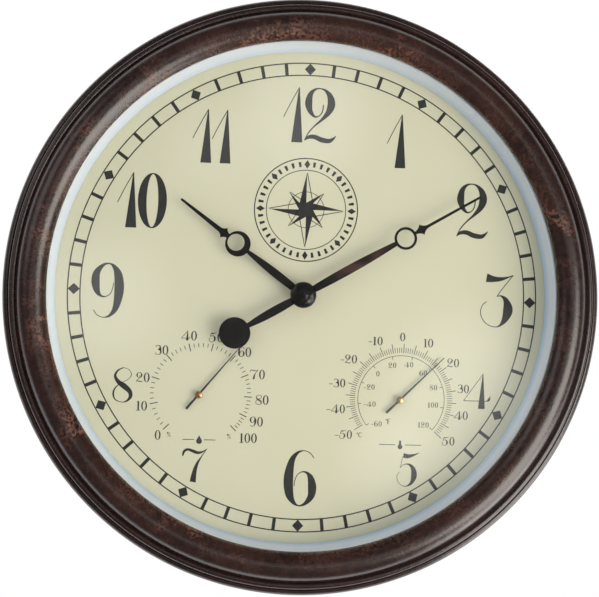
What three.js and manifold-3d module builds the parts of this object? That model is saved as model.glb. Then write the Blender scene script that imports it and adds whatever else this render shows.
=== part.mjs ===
// Round outdoor wall clock: moulded rim, printed dial with a thermometer and a hygrometer, quartz movement.
// All sizes are in millimetres. Inside the clock group x is right, y is up and z is out from the wall,
// with the hand axis at x = y = 0 and the wall at z = 0. The exported group is turned to +Z up, dial to -Y,
// and its origin is the seat of the wall screw in the keyhole.
import * as THREE from 'three';
import { mergeVertices } from 'three/addons/utils/BufferGeometryUtils.js';
import Module from 'manifold-3d';

const wasm = await Module();
wasm.setup();

// Fits
const FIT = 0.3;
const RUNNING_FIT = 0.12;
const CUT_MARGIN = 1;
const HALF_TURN = 180;

// Facets of round pieces
const RING_SIDES = 52;
const MIDDLE_SIDES = 20;
const SMALL_SIDES = 10;

// Rim
const CASE_RADIUS = 152.5;
const RIM_WIDTH = 22.5;
const CREST_SETBACK = 15;
const CREST_RISE = 4.6;
const CREST_TO_GROOVE = 6.1;
const OUTER_BEAD_WIDTH = 3.5;
const INNER_BEAD_WIDTH = 3.8;
const BEAD_STEP = 2.3;
const BEAD_GROOVE = 0.9;
const SKIRT_TAPER = 1.3;
const RIM_WALL = 2.4;
const RIM_STAND_OFF = 4;
const LIP_THICKNESS = 2.2;
const LOCATING_WALL = 2.4;
const SCREW_BOSS_RADIUS = 3.2;
const CASE_SCREWS = 6;

// Glass, dial and the rings between them
const GLASS_OVERLAP = 2.6;
const GLASS_THICKNESS = 3;
const GASKET_THICKNESS = 0.8;
const GASKET_WIDTH = 1.7;
const GLASS_CLEARANCE = 1.1;
const SPACER_FOOT_WIDTH = 4.7;
const SPACER_TOP_WIDTH = 2.2;
const DIAL_THICKNESS = 1;

// Back cover
const HEAD_RECESS = 0.1;
const FIELD_THICKNESS = 2.2;
const FOOT_WIDTH = 6.5;
const FOOT_SLOPE = 3;
const COVER_SETBACK = 6.1;
const COVER_WALL = 2.3;
const FLANGE_RECESS = 4;
const FLANGE_THICKNESS = 2.5;
const WINDOW_MARGIN = 1.3;
const SEAL_THICKNESS = 1.5;
const VENT_LENGTH = 16;
const VENT_WIDTH = 2.4;
const VENT_SPACING = 6;
const VENT_SLOTS = 3;

// Hanger
const HOOK_SETBACK = 26.5;
const HANGER_WIDTH = 46;
const HANGER_HEIGHT = 26;
const HANGER_THICKNESS = 1.2;
const HANGER_SCREW_SPACING = 34;
const KEYHOLE_ENTRY_RADIUS = 4.8;
const KEYHOLE_SLOT_HALF_WIDTH = 2.4;
const KEYHOLE_DROP = 8;
const HEAD_POCKET_WIDTH = 18;
const HEAD_POCKET_HEIGHT = 22;

// Fasteners
const SCREW_RADIUS = 1.2;
const SCREW_LENGTH = 12;
const SCREW_HEAD_RADIUS = 2.9;
const SCREW_HEAD_HEIGHT = 1.3;
const HANGER_SCREW_LENGTH = 6;

// Movement case
const MOVEMENT_RECESS = 3;
const MOVEMENT_WALL = 1.2;
const MOVEMENT_CORNER = 3;
const PARTITION_THICKNESS = 1;

// Battery
const BATTERY_RADIUS = 7.25;
const BATTERY_LENGTH = 50.5;
const BATTERY_NUB_RADIUS = 2.75;
const BATTERY_NUB_LENGTH = 1.2;
const BATTERY_PROUD = 0.9;
const BATTERY_EDGE_GAP = 0.5;
const CONTACT_THICKNESS = 0.4;
const CONTACT_ROOM = 0.55;
const CONTACT_HALF_WIDTH = 3;
const CONTACT_HALF_HEIGHT = 4.5;

// Mounting of the movement on the dial
const BUSH_WALL = 1;
const BUSH_FLANGE_WIDTH = 2.5;
const BUSH_PROUD = 3.2;
const WASHER_THICKNESS = 1;
const WASHER_WIDTH = 6.3;
const NUT_WALL = 0.8;
const NUT_THICKNESS = 1.8;
const FRONT_WASHER_THICKNESS = 0.5;

// Wheels of the movement
const WHEEL_THICKNESS = 0.8;
const PINION_THICKNESS = 1.2;
const ARBOR_RADIUS = 0.45;
const WHEEL_LEVELS = 6;
const ADDENDUM = 0.8;
const DEDENDUM = 1.2;
const WHEEL_TOOTH_SHARE = 0.4;
const PINION_TOOTH_SHARE = 0.32;
const TOOTH_TAPER = 0.4;
const ROTOR_LEAVES = 6;
const INTERMEDIATE_TEETH = 36;
const INTERMEDIATE_LEAVES = 6;
const SECONDS_TEETH = 30;
const SECONDS_LEAVES = 6;
const THIRD_TEETH = 45;
const THIRD_LEAVES = 6;
const CENTRE_TEETH = 48;
const CANNON_LEAVES = 8;
const MINUTE_WHEEL_TEETH = 24;
const MINUTE_WHEEL_LEAVES = 6;
const HOUR_TEETH = 24;
const SETTING_LEAVES = 8;
const ROTOR_MODULE = 0.34;
const INTERMEDIATE_MODULE = 0.52;
const THIRD_MODULE = 0.36;
const MOTION_MODULE = 0.45;
const THIRD_DIRECTION = 60;
const INTERMEDIATE_DIRECTION = 150;
const ROTOR_DIRECTION = 140;
const SETTING_DIRECTION = -8;
const MAGNET_RADIUS = 2.5;
const MAGNET_THICKNESS = 2.4;
const MINUTE_POST_RADIUS = 0.45;
const SETTING_SHAFT_RADIUS = 1;
const KNOB_RADIUS = 4.5;
const KNOB_THICKNESS = 1.6;
const KNOB_RIBS = 16;

// Coil, stator and circuit
const COIL_LENGTH = 22;
const COIL_OFFSET = 6;
const COIL_ROOM = 0.8;
const COIL_FLANGE_RADIUS = 4.2;
const COIL_FLANGE_THICKNESS = 0.8;
const COIL_BORE_RADIUS = 2;
const COIL_TUBE_WALL = 0.5;
const CORE_WIDTH = 3;
const CORE_THICKNESS = 1;
const CORE_OVERHANG = 4.5;
const STATOR_RING_RADIUS = 4.5;
const STATOR_THICKNESS = 1;
const STATOR_LEG = 3.4;
const BOARD_WIDTH = 10.5;
const BOARD_HEIGHT = 12;
const BOARD_THICKNESS = 1;
const CRYSTAL_RADIUS = 1;
const CRYSTAL_LENGTH = 6;

// Hands
const HOUR_LIFT = 4.6;
const MINUTE_LIFT = 7;
const HAND_THICKNESS = 0.7;
const MINUTE_SHAFT_RADIUS = 1.5;
const SHAFT_GAP = 0.38;
const HOUR_TUBE_WALL = 0.65;
const HAND_HUB_RADIUS = 5.2;
const HUB_CAP_RADIUS = 6.8;
const HUB_CAP_HEIGHT = 2.6;
const HAND_NUT_RADIUS = 2.8;
const HAND_NUT_HEIGHT = 1.3;
const HOUR_HAND_ANGLE = 306.6;
const MINUTE_HAND_ANGLE = 59.4;
const HOUR_HAND = {
  length: 80.4,
  ringAt: 42.9,
  ringRadius: 6.6,
  holeRadius: 4.4,
  holeShift: 1.2,
  diamondAt: 52.1,
  diamondHalfWidth: 3.3,
  diamondHalfLength: 2.4,
  spearHalfWidth: 1.3,
  tipHalfWidth: 0.55,
  leafHalfWidths: [1.45, 2.1, 0.9],
};
const MINUTE_HAND = {
  length: 106.7,
  ringAt: 61,
  ringRadius: 5.9,
  holeRadius: 4.6,
  holeShift: 0,
  diamondAt: 70.7,
  diamondHalfWidth: 3.05,
  diamondHalfLength: 3.4,
  spearHalfWidth: 0.8,
  tipHalfWidth: 0.6,
  leafHalfWidths: [1.45, 2.3, 1.15],
};
const TAIL_DISC_AT = 40.4;
const TAIL_DISC_RADIUS = 8.1;
const TAIL_HALF_WIDTHS = [1.2, 2.25, 1.25];

// Thermometer and hygrometer
const INSTRUMENT_OFFSET = 52.3;
const INSTRUMENT_DROP = 52.8;
const POINTER_LIFT = 1.5;
const POINTER_THICKNESS = 0.4;
const POINTER_TIP = 31.9;
const POINTER_TAIL = 9.8;
const POINTER_TAIL_HALF_WIDTH = 0.65;
const POINTER_TIP_HALF_WIDTH = 0.2;
const POINTER_HUB_RADIUS = 1.7;
const SPINDLE_RADIUS = 0.7;
const BOSS_RADIUS = 2;
const BOSS_HEIGHT = 1.1;
const CUP_RADIUS = 15;
const CUP_DEPTH = 10;
const CUP_WALL = 0.9;
const COIL_INNER_RADIUS = 1.3;
const COIL_TO_CUP = 1.5;
const COIL_TURNS = 3;
const COIL_STEPS_PER_TURN = 15;
const COIL_STRIP = 0.5;
const COIL_WIDTH = 4;
const THERMOMETER_ANGLE = 45.4;
const HYGROMETER_ANGLE = 39.5;

// Radii of the nested tubes and rings
const hourBoreRadius = MINUTE_SHAFT_RADIUS + SHAFT_GAP;
const hourTubeRadius = hourBoreRadius + HOUR_TUBE_WALL;
const bushBoreRadius = hourTubeRadius + SHAFT_GAP;
const bushRadius = bushBoreRadius + BUSH_WALL;
const bushFlangeRadius = bushRadius + BUSH_FLANGE_WIDTH;
const nutFlatRadius = bushRadius + FIT + NUT_WALL;
const nutCornerRadius = 2 * nutFlatRadius / Math.sqrt(3);
const apertureRadius = CASE_RADIUS - RIM_WIDTH;
const crestRadius = CASE_RADIUS - CREST_SETBACK;
const glassRadius = apertureRadius + GLASS_OVERLAP;
const dialEdgeRadius = glassRadius - SPACER_FOOT_WIDTH;
const coverRadius = glassRadius - COVER_SETBACK;
const hookHeight = coverRadius - HOOK_SETBACK;
const coilOuterRadius = CUP_RADIUS - CUP_WALL - COIL_TO_CUP;
const movementSize = BATTERY_LENGTH + 2 * (MOVEMENT_WALL + CONTACT_THICKNESS + 2 * FIT + CONTACT_ROOM);
const movementDepth = 2 * BATTERY_RADIUS - BATTERY_PROUD + FIT + MOVEMENT_WALL;

// Heights above the wall, worked out from the rear to the front
const fieldRecess = HANGER_THICKNESS + SCREW_HEAD_HEIGHT + 2 * FIT + HEAD_RECESS;
const movementRear = MOVEMENT_RECESS;
const movementFront = movementRear + movementDepth;
const dialRear = movementFront + WASHER_THICKNESS + 2 * FIT;
const dialFront = dialRear + DIAL_THICKNESS;
const minuteShaftTop = dialFront + MINUTE_LIFT + HAND_THICKNESS + HUB_CAP_HEIGHT;
const handNutRear = minuteShaftTop + 2 * FIT;
const glassRear = handNutRear + HAND_NUT_HEIGHT + GLASS_CLEARANCE;
const glassFront = glassRear + GLASS_THICKNESS;
const lipRear = glassFront + GASKET_THICKNESS + 2 * FIT;
const lipFront = lipRear + LIP_THICKNESS;
const crest = lipFront + CREST_RISE;
const flangeRear = RIM_STAND_OFF + FLANGE_RECESS;
const flangeFront = flangeRear + FLANGE_THICKNESS;
const fieldFront = fieldRecess + FIELD_THICKNESS;
const locatingRadius = glassRadius + FIT;
const skirtRadius = CASE_RADIUS - SKIRT_TAPER;
const skirtInner = skirtRadius - RIM_WALL;
const caseScrewCircle = (locatingRadius + LOCATING_WALL + skirtInner) / 2;

// Materials
function finish(color, roughness, metalness = 0) {
  return new THREE.MeshStandardMaterial({ color, roughness, metalness });
}

const bronzePaint = finish(0x2b1c19, 0.42);
const clearGlass = finish(0xdfe8ea, 0.05);
const blackRubber = finish(0x1c1c1c, 0.8);
const whitePlastic = finish(0xdfe6ee, 0.5);
const creamPrint = finish(0xd9d4b6, 0.6);
const blackPlastic = finish(0x1d1d1f, 0.5);
const zincSteel = finish(0xb4b6b8, 0.35, 0.9);
const brass = finish(0xb08d4c, 0.35, 0.9);
const blackLacquer = finish(0x17120f, 0.25);
const greyPointer = finish(0x3c3c3a, 0.4);
const whiteNylon = finish(0xe4e2da, 0.5);
const copper = finish(0xa85c34, 0.35, 0.9);
const boardGreen = finish(0x2c5a38, 0.5);
const magnetGrey = finish(0x4a4b50, 0.4, 0.6);
const batterySleeve = finish(0x4d5a66, 0.35);

// Geometry helpers
function turned(profile, sides = RING_SIDES) {
  const points = profile.map(([radius, height]) => new THREE.Vector2(radius, height));
  return new THREE.LatheGeometry(points, sides).rotateX(Math.PI / 2);
}

function hoop(profile, sides = RING_SIDES) {
  return turned([...profile, profile[0]], sides);
}

function band(innerRadius, outerRadius, low, high, sides = RING_SIDES) {
  return hoop([[innerRadius, low], [outerRadius, low], [outerRadius, high], [innerRadius, high]], sides);
}

function rod(radius, low, high, sides = SMALL_SIDES) {
  const cylinder = new THREE.CylinderGeometry(radius, radius, high - low, sides);
  return cylinder.rotateX(Math.PI / 2).translate(0, 0, (low + high) / 2);
}

function block(width, height, low, high) {
  return new THREE.BoxGeometry(width, height, high - low).translate(0, 0, (low + high) / 2);
}

function plate(shape, low, high, curveSegments = 8) {
  const depth = high - low;
  const slab = new THREE.ExtrudeGeometry(shape, { depth, bevelEnabled: false, curveSegments });
  return slab.translate(0, 0, low);
}

function outline(points) {
  return new THREE.Shape(points.map(([x, y]) => new THREE.Vector2(x, y)));
}

function polar(radius, degrees) {
  const angle = THREE.MathUtils.degToRad(degrees);
  return [radius * Math.cos(angle), radius * Math.sin(angle)];
}

function at(geometry, [x, y]) {
  return geometry.clone().translate(x, y, 0);
}

function solid(geometry) {
  const bare = geometry.clone();
  bare.deleteAttribute('normal');
  bare.deleteAttribute('uv');
  const merged = mergeVertices(bare);
  return new wasm.Manifold(new wasm.Mesh({
    numProp: 3,
    vertProperties: Float32Array.from(merged.attributes.position.array),
    triVerts: Uint32Array.from(merged.index.array),
  }));
}

function geometryOf(manifold) {
  const mesh = manifold.getMesh();
  const geometry = new THREE.BufferGeometry();
  geometry.setAttribute('position', new THREE.BufferAttribute(mesh.vertProperties, 3));
  geometry.setIndex(new THREE.BufferAttribute(mesh.triVerts, 1));
  geometry.computeVertexNormals();
  return geometry;
}

function joined(first, ...others) {
  return geometryOf(others.reduce((sum, next) => sum.add(solid(next)), solid(first)));
}

function cut(body, ...tools) {
  return geometryOf(tools.reduce((rest, tool) => rest.subtract(solid(tool)), solid(body)));
}

function roundedSquare(size, corner) {
  const half = size / 2;
  const flat = half - corner;
  const shape = new THREE.Shape();
  shape.moveTo(-flat, -half);
  shape.lineTo(flat, -half);
  shape.absarc(flat, -flat, corner, -Math.PI / 2, 0);
  shape.absarc(flat, flat, corner, 0, Math.PI / 2);
  shape.absarc(-flat, flat, corner, Math.PI / 2, Math.PI);
  shape.absarc(-flat, -flat, corner, Math.PI, 1.5 * Math.PI);
  return shape;
}

const clock = new THREE.Group();

function add(name, geometry, material, parent = clock) {
  const mesh = new THREE.Mesh(geometry, material);
  mesh.name = name;
  parent.add(mesh);
  return mesh;
}

// Rim: a moulded ring, hollow from the rear, with a broad round crown and two beads outside it
function crownArc(endRadius, drop, steps) {
  const reach = endRadius - crestRadius;
  const sweep = 2 * Math.atan2(drop, Math.abs(reach));
  const bend = Math.abs(reach) / Math.sin(sweep);
  return Array.from({ length: steps + 1 }, (_, step) => {
    const angle = sweep * step / steps;
    return [crestRadius + Math.sign(reach) * bend * Math.sin(angle), crest - bend * (1 - Math.cos(angle))];
  });
}

function beadArc(outerRadius, width, top, fromDegrees, toDegrees, steps) {
  return Array.from({ length: steps + 1 }, (_, step) => {
    const [reach, rise] = polar(1, fromDegrees + (toDegrees - fromDegrees) * step / steps);
    return [outerRadius - width / 2 + reach * width / 2, top - width / 2 + rise * width / 2];
  });
}

function rimProfile() {
  const outerGroove = CASE_RADIUS - OUTER_BEAD_WIDTH;
  const innerGroove = outerGroove - INNER_BEAD_WIDTH;
  const innerBeadTop = crest - CREST_TO_GROOVE + BEAD_GROOVE;
  const outerBeadTop = innerBeadTop - BEAD_STEP;
  const locatingRear = flangeFront + SEAL_THICKNESS + 2 * FIT;
  const locatingOuter = locatingRadius + LOCATING_WALL;
  const crownUnderside = crest - RIM_WALL;
  return [
    [skirtInner, RIM_STAND_OFF],
    [skirtRadius, RIM_STAND_OFF],
    [skirtRadius, outerBeadTop - 2 * OUTER_BEAD_WIDTH],
    ...beadArc(CASE_RADIUS, 2 * OUTER_BEAD_WIDTH, outerBeadTop, -45, 65, 4),
    [outerGroove, outerBeadTop - BEAD_GROOVE],
    ...beadArc(outerGroove, INNER_BEAD_WIDTH, innerBeadTop, 20, 150, 3),
    ...crownArc(innerGroove, CREST_TO_GROOVE, 4).reverse(),
    ...crownArc(apertureRadius, CREST_RISE, 4).slice(1),
    [apertureRadius, lipRear],
    [locatingRadius, lipRear],
    [locatingRadius, locatingRear],
    [locatingOuter, locatingRear],
    [locatingOuter, crownUnderside - 1],
    [crestRadius, crownUnderside],
    [innerGroove - RIM_WALL, crownUnderside - RIM_WALL],
    [skirtInner - RIM_WALL, outerBeadTop - RIM_WALL],
    [skirtInner, outerBeadTop - 2 * OUTER_BEAD_WIDTH],
  ];
}

function aroundRim(count, radius) {
  return Array.from({ length: count }, (_, index) => polar(radius, 90 + 180 / count + index * 360 / count));
}

function makeRim() {
  const places = aroundRim(CASE_SCREWS, caseScrewCircle);
  const bossRear = flangeFront + FIT;
  const boss = rod(SCREW_BOSS_RADIUS, bossRear, crest - 2 * RIM_WALL, 8);
  const hole = rod(SCREW_RADIUS + FIT, bossRear - CUT_MARGIN, flangeRear + SCREW_LENGTH + FIT);
  const shell = joined(hoop(rimProfile()), ...places.map((place) => at(boss, place)));
  return cut(shell, ...places.map((place) => at(hole, place)));
}

function makeGlass() {
  return rod(glassRadius, glassRear, glassFront, RING_SIDES);
}

function makeGasket() {
  const low = glassFront + FIT;
  return band(glassRadius - GASKET_WIDTH, glassRadius, low, low + GASKET_THICKNESS);
}

function makeSpacer() {
  const low = dialFront + FIT;
  const high = glassRear - FIT;
  return hoop([
    [dialEdgeRadius, low],
    [glassRadius, low],
    [glassRadius, high],
    [glassRadius - SPACER_TOP_WIDTH, high],
  ]);
}

function instrumentPlaces() {
  return {
    thermometer: [INSTRUMENT_OFFSET, -INSTRUMENT_DROP],
    hygrometer: [-INSTRUMENT_OFFSET, -INSTRUMENT_DROP],
  };
}

function makeDial() {
  const face = new THREE.Shape();
  face.absarc(0, 0, glassRadius, 0, 2 * Math.PI);
  const holes = [[[0, 0], bushRadius + FIT]];
  for (const place of Object.values(instrumentPlaces())) {
    holes.push([place, SPINDLE_RADIUS + 2 * FIT]);
  }
  const through = [dialRear - CUT_MARGIN, dialFront + CUT_MARGIN];
  const drills = holes.map(([place, radius]) => at(rod(radius, ...through, MIDDLE_SIDES), place));
  return cut(plate(face, dialRear, dialFront, RING_SIDES / 2), ...drills);
}

// Back cover: a moulded dish with a foot ring on the wall, a movement window and vents
function ventSlots([x, y]) {
  return Array.from({ length: VENT_SLOTS }, (_, index) => {
    const height = y + (index - (VENT_SLOTS - 1) / 2) * VENT_SPACING;
    return at(block(VENT_LENGTH, VENT_WIDTH, 0, fieldFront + CUT_MARGIN), [x, height]);
  });
}

function hangerScrewPlaces() {
  return [-1, 1].map((side) => [side * HANGER_SCREW_SPACING / 2, hookHeight - KEYHOLE_DROP / 2]);
}

function makeBackCover() {
  const ribTop = dialRear - FIT;
  const flangeRadius = skirtInner - FIT;
  const footInner = coverRadius - FOOT_WIDTH;
  const dish = turned([
    [0, fieldRecess],
    [footInner - FOOT_SLOPE, fieldRecess],
    [footInner, 0],
    [coverRadius, 0],
    [coverRadius, flangeRear],
    [flangeRadius, flangeRear],
    [flangeRadius, flangeFront],
    [coverRadius, flangeFront],
    [coverRadius, ribTop],
    [coverRadius - COVER_WALL, ribTop],
    [coverRadius - COVER_WALL, fieldFront],
    [0, fieldFront],
  ]);
  const screwReach = fieldFront + HANGER_SCREW_LENGTH;
  const boss = rod(SCREW_BOSS_RADIUS, fieldFront - FIELD_THICKNESS / 2, screwReach);
  const bosses = hangerScrewPlaces().map((place) => at(boss, place));
  const windowSize = movementSize + 2 * WINDOW_MARGIN;
  const window = block(windowSize, windowSize, 0, fieldFront + CUT_MARGIN);
  const pocket = block(HEAD_POCKET_WIDTH, HEAD_POCKET_HEIGHT, 0, fieldFront + CUT_MARGIN);
  const screwHole = rod(SCREW_RADIUS + FIT, flangeRear - CUT_MARGIN, flangeFront + CUT_MARGIN);
  const hangerHole = rod(SCREW_RADIUS + FIT, 0, screwReach - 1);
  return cut(
    joined(dish, ...bosses),
    window,
    at(pocket, [0, hookHeight - KEYHOLE_DROP / 2]),
    ...aroundRim(CASE_SCREWS, caseScrewCircle).map((place) => at(screwHole, place)),
    ...hangerScrewPlaces().map((place) => at(hangerHole, place)),
    ...Object.values(instrumentPlaces()).flatMap(ventSlots),
  );
}

function makeSeal() {
  const low = flangeFront + FIT;
  return band(locatingRadius, locatingRadius + LOCATING_WALL, low, low + SEAL_THICKNESS);
}

function makeHanger() {
  const high = fieldRecess - FIT;
  const low = high - HANGER_THICKNESS;
  const middle = hookHeight - KEYHOLE_DROP / 2;
  const through = [low - CUT_MARGIN, high + CUT_MARGIN];
  const seatRow = hookHeight - KEYHOLE_SLOT_HALF_WIDTH;
  const slotHeight = seatRow - (hookHeight - KEYHOLE_DROP);
  return cut(
    at(block(HANGER_WIDTH, HANGER_HEIGHT, low, high), [0, middle]),
    at(rod(KEYHOLE_ENTRY_RADIUS, ...through, MIDDLE_SIDES), [0, hookHeight - KEYHOLE_DROP]),
    at(rod(KEYHOLE_SLOT_HALF_WIDTH, ...through, MIDDLE_SIDES), [0, seatRow]),
    at(block(2 * KEYHOLE_SLOT_HALF_WIDTH, slotHeight, ...through), [0, seatRow - slotHeight / 2]),
    ...hangerScrewPlaces().map((place) => at(rod(SCREW_RADIUS + FIT, ...through), place)),
  );
}

// Screw driven towards the front, with its head's flat side at the given height
function makeScrew(seat, length) {
  const headTop = seat - SCREW_HEAD_HEIGHT;
  return turned([
    [0, headTop],
    [SCREW_HEAD_RADIUS * 0.7, headTop],
    [SCREW_HEAD_RADIUS, headTop + SCREW_HEAD_HEIGHT * 0.6],
    [SCREW_HEAD_RADIUS, seat],
    [SCREW_RADIUS, seat],
    [SCREW_RADIUS, seat + length - SCREW_RADIUS],
    [0, seat + length],
  ], SMALL_SIDES);
}

function addScrews() {
  aroundRim(CASE_SCREWS, caseScrewCircle).forEach((place, index) => {
    add(`back_screw_${index + 1}`, at(makeScrew(flangeRear - FIT, SCREW_LENGTH), place), zincSteel);
  });
  const hangerSeat = fieldRecess - HANGER_THICKNESS - 2 * FIT;
  hangerScrewPlaces().forEach((place, index) => {
    add(`hanger_screw_${index + 1}`, at(makeScrew(hangerSeat, HANGER_SCREW_LENGTH), place), zincSteel);
  });
}

function addCase() {
  add('rim', makeRim(), bronzePaint);
  add('lens_glass', makeGlass(), clearGlass);
  add('lens_gasket', makeGasket(), blackRubber);
  add('spacer_ring', makeSpacer(), whitePlastic);
  add('dial_plate', makeDial(), creamPrint);
  add('case_seal', makeSeal(), blackRubber);
  add('back_cover', makeBackCover(), blackPlastic);
  add('hanger_plate', makeHanger(), zincSteel);
  addScrews();
}

// Wheel train: where each axle stands and the height of each wheel
function gearDistance(firstTeeth, secondTeeth, module) {
  return (firstTeeth + secondTeeth) * module / 2;
}

function stepFrom([x, y], distance, degrees) {
  const [dx, dy] = polar(distance, degrees);
  return [x + dx, y + dy];
}

const centreAxis = [0, 0];
const thirdDistance = gearDistance(SECONDS_LEAVES, THIRD_TEETH, THIRD_MODULE);
const centreModule = 2 * thirdDistance / (THIRD_LEAVES + CENTRE_TEETH);
const minuteWheelDistance = gearDistance(CANNON_LEAVES, MINUTE_WHEEL_TEETH, MOTION_MODULE);
const hourModule = 2 * minuteWheelDistance / (MINUTE_WHEEL_LEAVES + HOUR_TEETH);
const intermediateDistance = gearDistance(INTERMEDIATE_LEAVES, SECONDS_TEETH, INTERMEDIATE_MODULE);
const rotorDistance = gearDistance(ROTOR_LEAVES, INTERMEDIATE_TEETH, ROTOR_MODULE);
const settingDistance = gearDistance(SETTING_LEAVES, MINUTE_WHEEL_TEETH, MOTION_MODULE);
const thirdAxis = stepFrom(centreAxis, thirdDistance, THIRD_DIRECTION);
const intermediateAxis = stepFrom(centreAxis, intermediateDistance, INTERMEDIATE_DIRECTION);
const rotorAxis = stepFrom(intermediateAxis, rotorDistance, ROTOR_DIRECTION);
const minuteWheelAxis = stepFrom(centreAxis, minuteWheelDistance, SETTING_DIRECTION);
const settingAxis = stepFrom(minuteWheelAxis, settingDistance, SETTING_DIRECTION);

const innerRear = movementRear + MOVEMENT_WALL;
const innerFront = movementFront - MOVEMENT_WALL;
const levelStep = (innerFront - innerRear) / WHEEL_LEVELS;
const hourLevel = innerFront - levelStep / 2;
const motionLevel = hourLevel - levelStep;
const centreLevel = motionLevel - levelStep;
const thirdLevel = centreLevel - levelStep;
const secondsLevel = thirdLevel - levelStep;
const intermediateLevel = secondsLevel - levelStep;

// A tooth of the second gear's gap faces a tooth of the first gear on the line of centres
function meshPhase(firstPhase, firstTeeth, secondTeeth, direction) {
  const line = THREE.MathUtils.degToRad(direction);
  const ahead = (line - firstPhase) * firstTeeth / (2 * Math.PI);
  return line + Math.PI - (0.5 - ahead) * 2 * Math.PI / secondTeeth;
}

function gearShape(teeth, module, phase, share, rootTaper) {
  const halfWidth = share * Math.PI * module / 2;
  const tipRadius = (teeth / 2 + ADDENDUM) * module;
  const rootRadius = (teeth / 2 - DEDENDUM) * module;
  const tipTurn = (halfWidth - TOOTH_TAPER * ADDENDUM * module) / tipRadius;
  const rootTurn = (halfWidth + rootTaper * DEDENDUM * module) / rootRadius;
  const points = [];
  for (let tooth = 0; tooth < teeth; tooth++) {
    const middle = phase + tooth * 2 * Math.PI / teeth;
    for (const [radius, turn] of [[rootRadius, -rootTurn], [tipRadius, -tipTurn], [tipRadius, tipTurn],
      [rootRadius, rootTurn]]) {
      points.push([radius * Math.cos(middle + turn), radius * Math.sin(middle + turn)]);
    }
  }
  return outline(points);
}

function wheel(teeth, module, phase, level) {
  const low = level - WHEEL_THICKNESS / 2;
  const disc = gearShape(teeth, module, phase, WHEEL_TOOTH_SHARE, TOOTH_TAPER / 4);
  return plate(disc, low, low + WHEEL_THICKNESS);
}

function pinion(leaves, module, phase, low, high) {
  return plate(gearShape(leaves, module, phase, PINION_TOOTH_SHARE, 0), low, high);
}

function pinionAt(leaves, module, phase, level) {
  return pinion(leaves, module, phase, level - PINION_THICKNESS / 2, level + PINION_THICKNESS / 2);
}

const secondsPhase = 0;
const thirdPhase = meshPhase(secondsPhase, SECONDS_LEAVES, THIRD_TEETH, THIRD_DIRECTION);
const centrePhase = meshPhase(thirdPhase, THIRD_LEAVES, CENTRE_TEETH, THIRD_DIRECTION + HALF_TURN);
const intermediatePhase = meshPhase(secondsPhase, SECONDS_TEETH, INTERMEDIATE_LEAVES, INTERMEDIATE_DIRECTION);
const rotorPhase = meshPhase(intermediatePhase, INTERMEDIATE_TEETH, ROTOR_LEAVES, ROTOR_DIRECTION);
const cannonPhase = 0;
const minuteWheelPhase = meshPhase(cannonPhase, CANNON_LEAVES, MINUTE_WHEEL_TEETH, SETTING_DIRECTION);
const hourPhase = meshPhase(minuteWheelPhase, MINUTE_WHEEL_LEAVES, HOUR_TEETH, SETTING_DIRECTION + HALF_TURN);
const settingPhase = meshPhase(minuteWheelPhase, MINUTE_WHEEL_TEETH, SETTING_LEAVES, SETTING_DIRECTION);

function makeThirdWheel() {
  return at(joined(
    rod(ARBOR_RADIUS, innerRear + FIT, innerFront - FIT),
    wheel(THIRD_TEETH, THIRD_MODULE, thirdPhase, thirdLevel),
    pinion(THIRD_LEAVES, centreModule, thirdPhase, thirdLevel, centreLevel + PINION_THICKNESS / 2),
  ), thirdAxis);
}

function makeSecondsWheel() {
  const pinionTop = thirdLevel + PINION_THICKNESS / 2;
  return joined(
    rod(ARBOR_RADIUS, innerRear + FIT, pinionTop),
    wheel(SECONDS_TEETH, INTERMEDIATE_MODULE, secondsPhase, secondsLevel),
    pinion(SECONDS_LEAVES, THIRD_MODULE, secondsPhase, secondsLevel, pinionTop),
  );
}

function makeIntermediateWheel() {
  return at(joined(
    rod(ARBOR_RADIUS, innerRear + FIT, innerFront - FIT),
    wheel(INTERMEDIATE_TEETH, ROTOR_MODULE, intermediatePhase, intermediateLevel),
    pinion(INTERMEDIATE_LEAVES, INTERMEDIATE_MODULE, intermediatePhase, intermediateLevel,
      secondsLevel + PINION_THICKNESS / 2),
  ), intermediateAxis);
}

function makeRotor() {
  const magnetLow = intermediateLevel + PINION_THICKNESS;
  return at(joined(
    rod(ARBOR_RADIUS, innerRear + FIT, innerFront - FIT),
    pinionAt(ROTOR_LEAVES, ROTOR_MODULE, rotorPhase, intermediateLevel),
    rod(MAGNET_RADIUS, magnetLow, magnetLow + MAGNET_THICKNESS, MIDDLE_SIDES),
  ), rotorAxis);
}

const cannonRear = motionLevel - PINION_THICKNESS / 2;
const clutchReach = PINION_THICKNESS;

function makeCentreWheel() {
  const low = centreLevel - WHEEL_THICKNESS / 2;
  return joined(
    wheel(CENTRE_TEETH, centreModule, centrePhase, centreLevel),
    rod(ARBOR_RADIUS, low, cannonRear + clutchReach),
  );
}

function makeMinuteShaft() {
  const body = joined(
    rod(MINUTE_SHAFT_RADIUS, motionLevel + WHEEL_THICKNESS / 2 + RUNNING_FIT, minuteShaftTop),
    pinionAt(CANNON_LEAVES, MOTION_MODULE, cannonPhase, motionLevel),
  );
  const clutchBore = rod(ARBOR_RADIUS + RUNNING_FIT, cannonRear - CUT_MARGIN, cannonRear + clutchReach + FIT);
  return cut(body, clutchBore);
}

function makeMinuteWheel() {
  const pinionTop = hourLevel + PINION_THICKNESS / 2;
  const low = motionLevel - WHEEL_THICKNESS / 2;
  const body = joined(
    wheel(MINUTE_WHEEL_TEETH, MOTION_MODULE, minuteWheelPhase, motionLevel),
    pinion(MINUTE_WHEEL_LEAVES, hourModule, minuteWheelPhase, motionLevel, pinionTop),
  );
  const bore = rod(MINUTE_POST_RADIUS + RUNNING_FIT, low - CUT_MARGIN, pinionTop + CUT_MARGIN);
  return at(cut(body, bore), minuteWheelAxis);
}

const hourTubeTop = dialFront + HOUR_LIFT + HAND_THICKNESS;

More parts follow.
